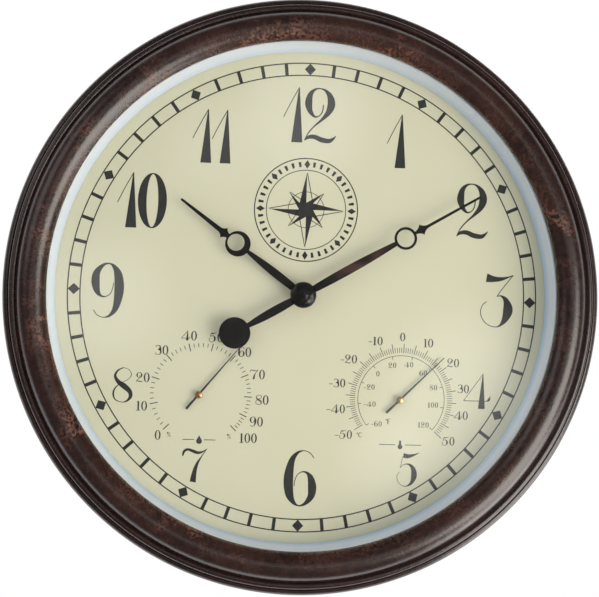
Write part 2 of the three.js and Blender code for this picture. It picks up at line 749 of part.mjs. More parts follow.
function makeHourWheel() {
  const low = hourLevel - WHEEL_THICKNESS / 2;
  const body = joined(
    wheel(HOUR_TEETH, hourModule, hourPhase, hourLevel),
    rod(hourTubeRadius, hourLevel, hourTubeTop, MIDDLE_SIDES),
  );
  const bore = rod(hourBoreRadius, low - CUT_MARGIN, hourTubeTop + CUT_MARGIN, MIDDLE_SIDES);
  return cut(body, bore);
}

function makeSettingKnob() {
  const knobHigh = movementRear - FIT;
  const ribbed = [];
  for (let rib = 0; rib < 2 * KNOB_RIBS; rib++) {
    ribbed.push(polar(rib % 2 ? KNOB_RADIUS : KNOB_RADIUS * 0.92, rib * 180 / KNOB_RIBS));
  }
  return at(joined(
    plate(outline(ribbed), knobHigh - KNOB_THICKNESS, knobHigh),
    rod(SETTING_SHAFT_RADIUS, knobHigh - KNOB_THICKNESS / 2, motionLevel),
    pinionAt(SETTING_LEAVES, MOTION_MODULE, settingPhase, motionLevel),
  ), settingAxis);
}

// Movement case
const batteryDrop = movementSize / 2 - MOVEMENT_WALL - BATTERY_EDGE_GAP - BATTERY_RADIUS;
const batteryHeight = movementRear - BATTERY_PROUD + BATTERY_RADIUS;
const bayTop = -batteryDrop + BATTERY_RADIUS + BATTERY_EDGE_GAP;
const coreHigh = thirdLevel;
const statorHigh = coreHigh - CORE_THICKNESS / 2 - FIT;
const coilHeight = movementSize / 2 - MOVEMENT_WALL - COIL_FLANGE_RADIUS - COIL_ROOM;
const coilLeft = COIL_OFFSET - COIL_LENGTH / 2 - CORE_OVERHANG / 2;
const coilRight = COIL_OFFSET + COIL_LENGTH / 2 + CORE_OVERHANG / 2;
const boardPlace = [
  -movementSize / 2 + MOVEMENT_WALL + FIT + BOARD_WIDTH / 2,
  bayTop + PARTITION_THICKNESS + FIT + BOARD_HEIGHT / 2,
];
const boardLow = secondsLevel;

function makeMovementFront() {
  const outer = plate(roundedSquare(movementSize, MOVEMENT_CORNER), innerRear + FIT, movementFront, 2);
  const innerSize = movementSize - 2 * MOVEMENT_WALL;
  const innerCorner = MOVEMENT_CORNER - MOVEMENT_WALL;
  const hollow = plate(roundedSquare(innerSize, innerCorner), innerRear - CUT_MARGIN, innerFront, 2);
  const bushHole = rod(bushRadius + FIT, innerFront - CUT_MARGIN, movementFront + CUT_MARGIN, MIDDLE_SIDES);
  const partition = block(innerSize + FIT, PARTITION_THICKNESS, innerRear + FIT, innerFront + FIT);
  const statorPost = rod(1.2, statorHigh + FIT, innerFront + FIT);
  const minutePost = rod(MINUTE_POST_RADIUS, centreLevel + WHEEL_THICKNESS / 2 + FIT, innerFront + FIT);
  return joined(
    cut(outer, hollow, bushHole),
    at(partition, [0, bayTop + PARTITION_THICKNESS / 2]),
    at(minutePost, minuteWheelAxis),
    at(statorPost, [coilLeft - CORE_OVERHANG / 2, rotorAxis[1] + STATOR_RING_RADIUS + STATOR_LEG / 2]),
    at(statorPost, [coilRight + CORE_OVERHANG / 2, rotorAxis[1] + STATOR_RING_RADIUS + STATOR_LEG / 2]),
  );
}

function makeMovementRear() {
  const cover = plate(roundedSquare(movementSize, MOVEMENT_CORNER), movementRear, innerRear, 2);
  const bayHeight = 2 * (BATTERY_RADIUS + BATTERY_EDGE_GAP);
  const bayLength = movementSize - 2 * MOVEMENT_WALL;
  const bay = block(bayLength, bayHeight, movementRear - CUT_MARGIN, innerRear + CUT_MARGIN);
  const knobHole = rod(SETTING_SHAFT_RADIUS + FIT, movementRear - CUT_MARGIN, innerRear + CUT_MARGIN);
  const boardPost = rod(1, innerRear - FIT, boardLow - FIT);
  const postReach = BOARD_HEIGHT / 2 - 2;
  return joined(
    cut(cover, at(bay, [0, -batteryDrop]), at(knobHole, settingAxis)),
    at(boardPost, [boardPlace[0], boardPlace[1] - postReach]),
    at(boardPost, [boardPlace[0], boardPlace[1] + postReach]),
  );
}

function makeBush() {
  return hoop([
    [bushBoreRadius, innerFront],
    [bushRadius, innerFront],
    [bushRadius, movementFront + FIT],
    [bushFlangeRadius, movementFront + FIT],
    [bushFlangeRadius, movementFront + FIT + WASHER_THICKNESS],
    [bushRadius, movementFront + FIT + WASHER_THICKNESS],
    [bushRadius, dialFront + BUSH_PROUD],
    [bushBoreRadius, dialFront + BUSH_PROUD],
  ], MIDDLE_SIDES);
}

function makeNut() {
  const low = dialFront + 2 * FIT + FRONT_WASHER_THICKNESS;
  const blank = rod(nutCornerRadius, low, low + NUT_THICKNESS, 6);
  return cut(blank, rod(bushRadius + FIT, low - CUT_MARGIN, low + NUT_THICKNESS + CUT_MARGIN, MIDDLE_SIDES));
}

function makeCircuitBoard() {
  const high = boardLow + BOARD_THICKNESS;
  const chip = rod(2, high - FIT, high + 1);
  const board = block(BOARD_WIDTH, BOARD_HEIGHT, boardLow, high);
  return at(joined(board, at(chip, [0, -BOARD_HEIGHT / 4])), boardPlace);
}

function makeCrystal() {
  const can = new THREE.CylinderGeometry(CRYSTAL_RADIUS, CRYSTAL_RADIUS, CRYSTAL_LENGTH, SMALL_SIDES);
  const [x, y] = boardPlace;
  const height = boardLow + BOARD_THICKNESS + FIT + CRYSTAL_RADIUS;
  return can.rotateZ(Math.PI / 2).translate(x, y + BOARD_HEIGHT / 4, height);
}

function alongCoil(profile) {
  const section = [...profile, profile[0]].map(([radius, x]) => new THREE.Vector2(radius, x));
  const spool = new THREE.LatheGeometry(section, MIDDLE_SIDES);
  return spool.rotateZ(-Math.PI / 2).translate(COIL_OFFSET, coilHeight, coreHigh);
}

function makeBobbin() {
  const half = COIL_LENGTH / 2;
  const neck = half - COIL_FLANGE_THICKNESS;
  const tubeRadius = COIL_BORE_RADIUS + COIL_TUBE_WALL;
  return alongCoil([
    [COIL_BORE_RADIUS, -half],
    [COIL_FLANGE_RADIUS, -half],
    [COIL_FLANGE_RADIUS, -neck],
    [tubeRadius, -neck],
    [tubeRadius, neck],
    [COIL_FLANGE_RADIUS, neck],
    [COIL_FLANGE_RADIUS, half],
    [COIL_BORE_RADIUS, half],
  ]);
}

function makeWinding() {
  const reach = COIL_LENGTH / 2 - COIL_FLANGE_THICKNESS - FIT;
  const inner = COIL_BORE_RADIUS + COIL_TUBE_WALL + FIT;
  const outer = COIL_FLANGE_RADIUS - FIT;
  return alongCoil([[inner, -reach], [outer, -reach], [outer, reach], [inner, reach]]);
}

function makeCore() {
  const length = COIL_LENGTH + 2 * CORE_OVERHANG;
  const bar = block(length, CORE_WIDTH, coreHigh - CORE_THICKNESS / 2, coreHigh + CORE_THICKNESS / 2);
  return at(bar, [COIL_OFFSET, coilHeight]);
}

function makeStator() {
  const [rotorX, rotorY] = rotorAxis;
  const low = statorHigh - STATOR_THICKNESS;
  const legLow = rotorY + STATOR_RING_RADIUS - 1;
  const legHigh = coilHeight + CORE_WIDTH / 2;
  const leftEdge = Math.min(coilLeft - CORE_OVERHANG, rotorX);
  const rightEdge = coilRight + CORE_OVERHANG;
  const yoke = outline([
    [leftEdge, legLow],
    [rightEdge, legLow],
    [rightEdge, legHigh],
    [coilRight, legHigh],
    [coilRight, legLow + STATOR_LEG],
    [coilLeft, legLow + STATOR_LEG],
    [coilLeft, legHigh],
    [leftEdge, legHigh],
  ]);
  const eye = rod(STATOR_RING_RADIUS, low, statorHigh, MIDDLE_SIDES);
  const rotorHole = rod(MAGNET_RADIUS + 2 * FIT, low - CUT_MARGIN, statorHigh + CUT_MARGIN, MIDDLE_SIDES);
  const body = joined(plate(yoke, low, statorHigh), at(eye, rotorAxis));
  return cut(body, at(rotorHole, rotorAxis));
}

function makeBattery() {
  const half = BATTERY_LENGTH / 2;
  const shoulder = half - BATTERY_NUB_LENGTH;
  const can = new THREE.LatheGeometry([
    [0, -half],
    [BATTERY_RADIUS - 0.6, -half],
    [BATTERY_RADIUS, -half + 0.6],
    [BATTERY_RADIUS, shoulder - 0.6],
    [BATTERY_RADIUS - 0.6, shoulder],
    [BATTERY_NUB_RADIUS, shoulder],
    [BATTERY_NUB_RADIUS, half],
    [0, half],
  ].map(([r, x]) => new THREE.Vector2(r, x)), MIDDLE_SIDES);
  return can.rotateZ(-Math.PI / 2).translate(BATTERY_NUB_LENGTH / 2, -batteryDrop, batteryHeight);
}

function makeContact(side, bulge) {
  const wall = movementSize / 2 - MOVEMENT_WALL - FIT;
  const face = wall - CONTACT_THICKNESS;
  const leaf = outline([
    [wall, -CONTACT_HALF_HEIGHT],
    [wall, CONTACT_HALF_HEIGHT],
    [face, CONTACT_HALF_HEIGHT],
    [face - bulge, 0.5],
    [face - bulge, -0.5],
    [face, -CONTACT_HALF_HEIGHT],
  ].map(([x, y]) => [side * x, y]));
  const strip = plate(leaf, batteryHeight - CONTACT_HALF_WIDTH, batteryHeight + CONTACT_HALF_WIDTH);
  return at(strip, [0, -batteryDrop]);
}

function addMovement() {
  add('movement_front_case', makeMovementFront(), blackPlastic);
  add('movement_rear_case', makeMovementRear(), blackPlastic);
  add('mounting_bush', makeBush(), brass);
  const washerLow = movementFront + FIT;
  const washerHigh = washerLow + WASHER_THICKNESS;
  const washerBore = bushFlangeRadius + FIT;
  const washer = band(washerBore, washerBore + WASHER_WIDTH, washerLow, washerHigh, MIDDLE_SIDES);
  add('mounting_washer', washer, blackRubber);
  const frontLow = dialFront + FIT;
  const frontBore = bushRadius + FIT;
  const frontHigh = frontLow + FRONT_WASHER_THICKNESS;
  add('front_washer', band(frontBore, nutCornerRadius, frontLow, frontHigh, MIDDLE_SIDES), brass);
  add('mounting_nut', makeNut(), brass);
  add('circuit_board', makeCircuitBoard(), boardGreen);
  add('quartz_crystal', makeCrystal(), zincSteel);
  add('coil_bobbin', makeBobbin(), whiteNylon);
  add('coil_winding', makeWinding(), copper);
  add('coil_core', makeCore(), zincSteel);
  add('stator', makeStator(), zincSteel);
  add('rotor', makeRotor(), magnetGrey);
  add('intermediate_wheel', makeIntermediateWheel(), whiteNylon);
  add('seconds_wheel', makeSecondsWheel(), whiteNylon);
  add('third_wheel', makeThirdWheel(), whiteNylon);
  add('centre_wheel', makeCentreWheel(), brass);
  add('minute_shaft', makeMinuteShaft(), whiteNylon);
  add('minute_wheel', makeMinuteWheel(), whiteNylon);
  add('hour_wheel', makeHourWheel(), whiteNylon);
  add('setting_knob', makeSettingKnob(), blackPlastic);
  add('battery_cell', makeBattery(), batterySleeve);
  add('positive_contact', makeContact(1, 0), zincSteel);
  add('negative_contact', makeContact(-1, CONTACT_THICKNESS * 2), zincSteel);
}

// Hands point along +y before they are turned to their place
function leafShape(start, end, [startHalf, middleHalf, endHalf]) {
  const bulge = 2 * middleHalf - (startHalf + endHalf) / 2;
  const middle = (start + end) / 2;
  const shape = new THREE.Shape();
  shape.moveTo(-startHalf, start);
  shape.lineTo(startHalf, start);
  shape.quadraticCurveTo(bulge, middle, endHalf, end);
  shape.lineTo(-endHalf, end);
  shape.quadraticCurveTo(-bulge, middle, -startHalf, start);
  return shape;
}

function diamondShape(middle, halfWidth, halfLength, neckHalf) {
  const shape = new THREE.Shape();
  shape.moveTo(neckHalf, middle - halfLength);
  shape.quadraticCurveTo(neckHalf, middle, halfWidth, middle);
  shape.quadraticCurveTo(neckHalf, middle, neckHalf, middle + halfLength);
  shape.lineTo(-neckHalf, middle + halfLength);
  shape.quadraticCurveTo(-neckHalf, middle, -halfWidth, middle);
  shape.quadraticCurveTo(-neckHalf, middle, -neckHalf, middle - halfLength);
  return shape;
}

function handBlade(hand, low) {
  const high = low + HAND_THICKNESS;
  const ringRear = hand.ringAt - hand.ringRadius;
  const ringFront = hand.ringAt + hand.ringRadius;
  const leaf = leafShape(0, ringRear + FIT, hand.leafHalfWidths);
  const spear = outline([
    [-hand.spearHalfWidth, hand.diamondAt],
    [hand.spearHalfWidth, hand.diamondAt],
    [hand.tipHalfWidth, hand.length - hand.tipHalfWidth],
    [0, hand.length],
    [-hand.tipHalfWidth, hand.length - hand.tipHalfWidth],
  ]);
  const neckHalf = hand.spearHalfWidth;
  const neck = outline([
    [-neckHalf, ringFront - FIT],
    [neckHalf, ringFront - FIT],
    [neckHalf, hand.diamondAt],
    [-neckHalf, hand.diamondAt],
  ]);
  const diamond = diamondShape(hand.diamondAt, hand.diamondHalfWidth, hand.diamondHalfLength, neckHalf);
  const moon = at(rod(hand.ringRadius, low, high, MIDDLE_SIDES), [0, hand.ringAt]);
  const holePlace = [0, hand.ringAt + hand.holeShift];
  const hole = at(rod(hand.holeRadius, low - CUT_MARGIN, high + CUT_MARGIN, MIDDLE_SIDES), holePlace);
  return cut(joined(
    plate(leaf, low, high),
    moon,
    plate(neck, low, high),
    plate(diamond, low, high, 5),
    plate(spear, low, high),
    rod(HAND_HUB_RADIUS, low, high, MIDDLE_SIDES),
  ), hole);
}

function makeHourHand() {
  const low = dialFront + HOUR_LIFT;
  const bore = rod(hourTubeRadius + FIT, low - CUT_MARGIN, low + HAND_THICKNESS + CUT_MARGIN, MIDDLE_SIDES);
  return cut(handBlade(HOUR_HAND, low), bore);
}

function makeMinuteHand() {
  const low = dialFront + MINUTE_LIFT;
  const high = low + HAND_THICKNESS;
  const tailEnd = TAIL_DISC_AT - TAIL_DISC_RADIUS + FIT;
  const tail = plate(leafShape(0, tailEnd, TAIL_HALF_WIDTHS), low, high).rotateZ(Math.PI);
  const disc = at(rod(TAIL_DISC_RADIUS, low, high, MIDDLE_SIDES), [0, -TAIL_DISC_AT]);
  const bore = rod(MINUTE_SHAFT_RADIUS + FIT, low - CUT_MARGIN, high + CUT_MARGIN);
  return cut(joined(handBlade(MINUTE_HAND, low), tail, disc), bore);
}

function makeHubCap() {
  const low = dialFront + MINUTE_LIFT + HAND_THICKNESS + FIT;
  const bore = MINUTE_SHAFT_RADIUS + FIT;
  const dome = [15, 40, 65].map((degrees) => {
    const [reach, rise] = polar(1, degrees);
    return [bore + (HUB_CAP_RADIUS - bore) * reach, low + HUB_CAP_HEIGHT * rise];
  });
  return hoop([
    [bore, low],
    [HUB_CAP_RADIUS, low],
    ...dome,
    [bore, low + HUB_CAP_HEIGHT],
  ], MIDDLE_SIDES);
}

function makeHandNut() {
  const low = handNutRear;
  return turned([
    [0, low],
    [HAND_NUT_RADIUS, low],
    [HAND_NUT_RADIUS, low + HAND_NUT_HEIGHT * 0.4],
    [HAND_NUT_RADIUS * 0.6, low + HAND_NUT_HEIGHT * 0.85],
    [0, low + HAND_NUT_HEIGHT],
  ], SMALL_SIDES);
}

function turnTo(mesh, clockDegrees) {
  mesh.rotation.z = -THREE.MathUtils.degToRad(clockDegrees);
}

function addHands() {
  turnTo(add('hour_hand', makeHourHand(), blackLacquer), HOUR_HAND_ANGLE);
  turnTo(add('minute_hand', makeMinuteHand(), blackLacquer), MINUTE_HAND_ANGLE);
  add('hub_cap', makeHubCap(), blackLacquer);
  add('hand_nut', makeHandNut(), blackLacquer);
}

// Thermometer and hygrometer: a bimetal strip coiled in a cup behind the dial turns a spindle and a pointer
function makePointer() {
  const low = dialFront + POINTER_LIFT;
  const high = low + POINTER_THICKNESS;
  const needle = outline([
    [-POINTER_TAIL_HALF_WIDTH, -POINTER_TAIL],
    [POINTER_TAIL_HALF_WIDTH, -POINTER_TAIL],
    [POINTER_TIP_HALF_WIDTH, POINTER_TIP],
    [-POINTER_TIP_HALF_WIDTH, POINTER_TIP],
  ]);
  return cut(
    joined(plate(needle, low, high), rod(POINTER_HUB_RADIUS, low, high)),
    rod(SPINDLE_RADIUS + FIT, low - CUT_MARGIN, high + CUT_MARGIN),
  );
}

function makeSpindle() {
  const cupFloor = dialRear - FIT - CUP_DEPTH + CUP_WALL;
  return rod(SPINDLE_RADIUS, cupFloor + FIT, dialFront + POINTER_LIFT + POINTER_THICKNESS);
}

function makeBoss() {
  const low = dialFront + POINTER_LIFT + POINTER_THICKNESS + FIT;
  return turned([
    [0, low],
    [BOSS_RADIUS, low],
    [BOSS_RADIUS, low + BOSS_HEIGHT * 0.5],
    [BOSS_RADIUS * 0.7, low + BOSS_HEIGHT * 0.9],
    [0, low + BOSS_HEIGHT],
  ], SMALL_SIDES);
}

function makeCup() {
  const top = dialRear - FIT;
  const bottom = top - CUP_DEPTH;
  return turned([
    [0, bottom],
    [CUP_RADIUS, bottom],
    [CUP_RADIUS, top],
    [CUP_RADIUS - CUP_WALL, top],
    [CUP_RADIUS - CUP_WALL, bottom + CUP_WALL],
    [0, bottom + CUP_WALL],
  ], MIDDLE_SIDES);
}

function makeBimetalCoil() {
  const steps = COIL_TURNS * COIL_STEPS_PER_TURN;
  const edge = (offset) => Array.from({ length: steps + 1 }, (_, step) => {
    const radius = COIL_INNER_RADIUS + (coilOuterRadius - COIL_INNER_RADIUS) * step / steps;
    return polar(radius + offset, 360 * step / COIL_STEPS_PER_TURN);
  });
  const strip = outline([...edge(COIL_STRIP), ...edge(0).reverse()]);
  const low = dialRear - FIT - CUP_DEPTH / 2 - COIL_WIDTH / 2;
  return plate(strip, low, low + COIL_WIDTH);
}

function addInstrument(name, [x, y], pointerAngle) {
  const group = new THREE.Group();
  group.position.set(x, y, 0);
  clock.add(group);
  add(`${name}_cup`, makeCup(), whitePlastic, group);
  add(`${name}_coil`, makeBimetalCoil(), copper, group);
  add(`${name}_spindle`, makeSpindle(), brass, group);
  turnTo(add(`${name}_pointer`, makePointer(), greyPointer, group), pointerAngle);
  add(`${name}_boss`, makeBoss(), brass, group);
}

addCase();
addMovement();
addHands();
const places = instrumentPlaces();
addInstrument('thermometer', places.thermometer, THERMOMETER_ANGLE);
addInstrument('hygrometer', places.hygrometer, HYGROMETER_ANGLE);

clock.rotation.x = Math.PI / 2;
clock.position.z = -hookHeight;

const outdoorClock = new THREE.Group();
outdoorClock.add(clock);

export default outdoorClock;
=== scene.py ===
import math

import bpy
from mathutils import Matrix, Vector


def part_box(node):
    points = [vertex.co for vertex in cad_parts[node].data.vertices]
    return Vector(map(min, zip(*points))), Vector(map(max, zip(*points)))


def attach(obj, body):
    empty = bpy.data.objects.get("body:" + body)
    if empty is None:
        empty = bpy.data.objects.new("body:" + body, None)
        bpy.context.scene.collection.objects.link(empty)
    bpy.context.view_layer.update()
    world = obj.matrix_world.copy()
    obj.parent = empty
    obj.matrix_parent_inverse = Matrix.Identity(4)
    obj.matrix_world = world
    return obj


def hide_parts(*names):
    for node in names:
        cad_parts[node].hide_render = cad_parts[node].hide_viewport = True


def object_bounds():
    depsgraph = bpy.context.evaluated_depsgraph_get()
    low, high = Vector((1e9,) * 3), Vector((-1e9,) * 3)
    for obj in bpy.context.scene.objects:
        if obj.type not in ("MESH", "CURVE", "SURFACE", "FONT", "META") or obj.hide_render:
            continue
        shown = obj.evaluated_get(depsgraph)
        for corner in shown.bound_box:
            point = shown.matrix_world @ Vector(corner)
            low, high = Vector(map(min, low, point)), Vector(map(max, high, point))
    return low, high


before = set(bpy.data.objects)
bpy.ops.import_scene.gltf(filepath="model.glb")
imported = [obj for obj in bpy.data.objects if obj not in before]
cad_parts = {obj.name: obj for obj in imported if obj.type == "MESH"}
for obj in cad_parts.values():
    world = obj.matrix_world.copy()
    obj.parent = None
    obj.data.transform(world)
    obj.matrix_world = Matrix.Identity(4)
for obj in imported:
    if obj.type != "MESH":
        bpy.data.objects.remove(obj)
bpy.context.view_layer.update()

# Rim: one moulded ring, hollow from the rear, with a broad round crown and two beads outside it.
# It is plastic under an antique bronze paint, rubbed through to a reddish copper on its high places.
# Sections are drawn as (radius, height out from the wall) in millimetres and spun round the hand axis.
MM = 0.001
RING_STEPS = 288
RIM_WIDTH = 22.5
CREST_SETBACK = 15.0
CREST_RISE = 4.6
CREST_TO_GROOVE = 6.1
OUTER_BEAD = 3.5
INNER_BEAD = 3.8
BEAD_STEP = 2.3
BEAD_GROOVE = 0.9
SKIRT_TAPER = 1.3
RIM_WALL = 2.4
RIM_EDGE = 0.3
LIP_THICKNESS = 2.2
GLASS_CLEARANCE = 0.3
LOCATING_WALL = 2.4

rim_low, rim_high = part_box("rim")
axis_height = (rim_low.z + rim_high.z) / 2


def spot(right, up, out):
    """The place in the row frame of a point given in millimetres from the hand axis and the wall."""
    return Vector((right * MM, -out * MM, axis_height + up * MM))


def levels(node):
    """The heights of a CAD node's rear and front above the wall, in millimetres."""
    low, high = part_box(node)
    return -high.y / MM, -low.y / MM


def half_width(node):
    low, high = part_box(node)
    return (high.x - low.x) / 2 / MM


def arc(centre, wide, start, end, steps, high=None):
    """Points on an arc, or on an oval one, from one angle in degrees to another."""
    high = wide if high is None else high
    angles = [math.radians(start + (end - start) * step / steps) for step in range(steps + 1)]
    return [(centre[0] + wide * math.cos(a), centre[1] + high * math.sin(a)) for a in angles]


def pick(piece):
    """Selects one piece alone and makes it the active one."""
    bpy.ops.object.select_all(action="DESELECT")
    piece.select_set(True)
    bpy.context.view_layer.objects.active = piece


def edit(operator, **values):
    """Runs an edit mode operator on the whole of the active piece."""
    bpy.ops.object.mode_set(mode="EDIT")
    bpy.ops.mesh.select_all(action="SELECT")
    operator(**values)
    bpy.ops.object.mode_set(mode="OBJECT")


def modify(piece, kind, **settings):
    """Adds a modifier to a piece, sets it up and applies it."""
    pick(piece)
    bpy.ops.object.modifier_add(type=kind)
    modifier = piece.modifiers[-1]
    for name, value in settings.items():
        setattr(modifier, name, value)
    bpy.ops.object.modifier_apply(modifier=modifier.name)


def shaped(name, places):
    """Names the primitive that was just added and sets its vertices down on their places."""
    piece = bpy.context.object
    piece.name = name
    piece.location = (0, 0, 0)
    for vertex, place in zip(piece.data.vertices, places):
        vertex.co = place
    return piece


def outlined(name, places, fill="NOTHING"):
    """A circle primitive drawn out to an outline."""
    bpy.ops.object.select_all(action="DESELECT")
    bpy.ops.mesh.primitive_circle_add(vertices=len(places), radius=1.0, fill_type=fill)
    return shaped(name, places)


def turned(name, section, about=(0.0, 0.0), steps=RING_STEPS):
    """Spins a closed section round an axis that stands on the dial at about."""
    piece = outlined(name, [spot(about[0] + radius, about[1], out) for radius, out in section])
    edit(bpy.ops.mesh.spin, steps=steps, angle=2 * math.pi, center=spot(*about, 0), axis=(0, 1, 0))
    edit(bpy.ops.mesh.remove_doubles, threshold=1e-6)
    edit(bpy.ops.mesh.delete_loose, use_verts=True, use_edges=True, use_faces=False)
    edit(bpy.ops.mesh.normals_make_consistent, inside=False)
    return piece


def smooth(piece, degrees=35):
    pick(piece)
    bpy.ops.object.shade_smooth_by_angle(angle=math.radians(degrees))


def softened(piece, width, segments=2, degrees=30):
    """Rounds a piece's sharp edges and leaves its flat faces flat."""
    smooth(piece, degrees)
    limit = {"limit_method": "ANGLE", "angle_limit": math.radians(degrees), "harden_normals": True}
    modify(piece, "BEVEL", width=width * MM, segments=segments, **limit)
    return piece


def crown_arc(end_radius, drop, steps):
    """Half of the crown: an arc that leaves the crest level and falls by drop at end_radius."""
    reach = end_radius - crest_radius
    sweep = 2 * math.atan2(drop, abs(reach))
    bend = abs(reach) / math.sin(sweep)
    side = math.copysign(1, reach)
    angles = [sweep * step / steps for step in range(steps + 1)]
    return [(crest_radius + side * bend * math.sin(a), crest - bend * (1 - math.cos(a))) for a in angles]


rim_radius = half_width("rim")
rim_rear, crest = levels("rim")
aperture = rim_radius - RIM_WIDTH
crest_radius = rim_radius - CREST_SETBACK
locating_radius = half_width("lens_glass") + GLASS_CLEARANCE
seal_front = levels("case_seal")[1] + GLASS_CLEARANCE
outer_groove = rim_radius - OUTER_BEAD
inner_groove = outer_groove - INNER_BEAD
inner_bead_top = crest - CREST_TO_GROOVE + BEAD_GROOVE
outer_bead_top = inner_bead_top - BEAD_STEP
skirt = rim_radius - SKIRT_TAPER
lip_rear = crest - CREST_RISE - LIP_THICKNESS
rim_moulding = turned("rim_moulding", [
    (skirt - RIM_WALL, rim_rear),
    (skirt, rim_rear),
    (skirt, outer_bead_top - 2 * OUTER_BEAD),
    *arc((outer_groove, outer_bead_top - OUTER_BEAD), OUTER_BEAD, -45, 78, 10),
    (outer_groove, outer_bead_top - BEAD_GROOVE),
    *arc((outer_groove - INNER_BEAD / 2, inner_bead_top - INNER_BEAD / 2), INNER_BEAD / 2, 10, 160, 10),
    *reversed(crown_arc(inner_groove, CREST_TO_GROOVE, 14)),
    *crown_arc(aperture, CREST_RISE, 12)[1:],
    (aperture, lip_rear),
    (locating_radius, lip_rear),
    (locating_radius, seal_front),
    (locating_radius + LOCATING_WALL, seal_front),
    (locating_radius + LOCATING_WALL, crest - RIM_WALL - 1),
    (crest_radius, crest - RIM_WALL),
    (inner_groove - RIM_WALL, crest - 2 * RIM_WALL),
    (skirt - 2 * RIM_WALL, outer_bead_top - RIM_WALL),
    (skirt - RIM_WALL, outer_bead_top - 2 * OUTER_BEAD),
])
softened(rim_moulding, RIM_EDGE)


class Shade:
    """A value in a material's node tree. Operators add Math nodes, and node() adds any other."""

    def __init__(self, material, socket=None):
        self.material = material
        self.socket = socket

    def node(self, kind, inputs=None, output=0, **settings):
        made = self.material.node_tree.nodes.new(kind)
        for name, value in settings.items():
            setattr(made, name, value)
        for name, value in (inputs or {}).items():
            self.feed(made.inputs[name], value)
        return Shade(self.material, made.outputs[output])

    def feed(self, socket, value):
        if isinstance(value, Shade):
            self.material.node_tree.links.new(value.socket, socket)
        else:
            socket.default_value = value

    def math(self, operation, *values):
        return self.node("ShaderNodeMath", dict(enumerate(values)), operation=operation)

    def __add__(self, other):
        return self.math("ADD", self, other)

    def __sub__(self, other):
        return self.math("SUBTRACT", self, other)

    def __rsub__(self, other):
        return self.math("SUBTRACT", other, self)

    def __mul__(self, other):
        return self.math("MULTIPLY", self, other)

    __radd__ = __add__
    __rmul__ = __mul__

    def place(self):
        """The coordinates of the piece itself."""
        return self.node("ShaderNodeTexCoord", output="Object")

    def along(self, axis):
        """One coordinate of a vector."""
        return self.node("ShaderNodeSeparateXYZ", {"Vector": self}, output=axis)

    def ray(self, kind):
        return self.node("ShaderNodeLightPath", output=f"Is {kind} Ray")

    def between(self, low, high):
        """0 where the value is at low or under it, 1 where it is at high or over it."""
        values = {"Value": self, "From Min": low, "From Max": high}
        return self.node("ShaderNodeMapRange", values, interpolation_type="SMOOTHSTEP")

    def noise(self, size, detail=3.0, stretch=(1.0, 1.0, 1.0), swirl=0.0):
        """Noise with spots of a size in millimetres, on the piece's own coordinates."""
        scaled = self.node("ShaderNodeMapping", {"Vector": self.place(), "Scale": stretch})
        values = {"Vector": scaled, "Scale": 1 / (size * MM), "Detail": detail, "Distortion": swirl}
        return self.node("ShaderNodeTexNoise", values)

    def closeness(self, vector, point, near, far):
        """1 within near of a point and 0 beyond far."""
        apart = self.node("ShaderNodeVectorMath", {0: vector, 1: point}, output="Value", operation="DISTANCE")
        return 1 - apart.between(near, far)

    def blend(self, factor, first, second):
        """A colour between two others."""
        values = {0: factor, 6: first, 7: second}
        return self.node("ShaderNodeMix", values, output=2, data_type="RGBA")

    def bump(self, height, depth):
        """A normal from a height of 0 to 1, with its depth in millimetres."""
        return self.node("ShaderNodeBump", {"Height": height, "Distance": depth * MM, "Strength": 1.0})


def finish(name):
    material = bpy.data.materials.new(name)
    material.use_nodes = True
    return Shade(material)


def surface(shade, **sockets):
    """Sets the material's Principled shader: base_color=..., roughness=... and so on."""
    principled = shade.material.node_tree.nodes["Principled BSDF"]
    for name, value in sockets.items():
        shade.feed(principled.inputs[name.replace("_", " ").title().replace("Ior", "IOR")], value)
    return shade.material


def fit(piece, material, body, slot, *nodes):
    """Gives a piece its material and the body that it rides on, and hides the CAD nodes it stands for. The
    slot is not used.
    """
    piece.data.materials.clear()
    piece.data.materials.append(material)
    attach(piece, body)
    if nodes:
        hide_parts(*nodes)


BRONZE_DARK = (0.015, 0.005, 0.0035, 1)
BRONZE_BROWN = (0.066, 0.023, 0.0145, 1)
COPPER_RUB = (0.26, 0.088, 0.045, 1)
# Clock directions of the worn patches and how far each one spreads, in degrees
RUBBED_PLACES = ((20, 7), (74, 9), (205, 7), (238, 7), (262, 8), (283, 7), (304, 7), (323, 7), (352, 12))
BARE_RUB = 0.25
CROWN_FADE = 5.0
PAINT_RELIEF = 0.12
paint = finish("rubbed_bronze_paint")
cloud = paint.noise(38, 5)
smear = paint.noise(7, 8)
grain = paint.noise(0.9, 4)
fleck = paint.noise(1.5, 9)
streak = paint.noise(11, 10, swirl=0.8)
mottle = paint.noise(4.5, 10, swirl=1.6).between(0.34, 0.66)
inward = paint.closeness(
    paint.place(), spot(0, 0, crest), (crest_radius - CROWN_FADE) * MM, inner_groove * MM
)
tint = (cloud.between(0.35, 0.7) * 0.55 + mottle * 0.45) * (0.5 + 0.5 * inward)
brown = paint.blend(tint, BRONZE_DARK, BRONZE_BROWN)
upward = paint.place().along("Z") - axis_height
clock_turn = paint.math("ARCTAN2", paint.place().along("X"), upward) * (180 / math.pi)
patches = 0.0
for turn, spread in RUBBED_PLACES:
    nearest = paint.math("ABSOLUTE", paint.math("WRAP", clock_turn - turn, 180.0, -180.0))
    patches = (1 - nearest.between(spread * 0.2, spread)) + patches
rubbed = (patches + BARE_RUB) * streak.between(0.42, 0.64) * fleck.between(0.42, 0.6) * inward
rim_paint = surface(
    paint,
    base_color=paint.blend(rubbed * 0.7, brown, COPPER_RUB),
    roughness=0.19 + 0.13 * smear + 0.18 * rubbed,
    specular_ior_level=1.0,
    normal=paint.bump(grain * 0.5 + smear * 0.3 + mottle * 0.2, PAINT_RELIEF),
)
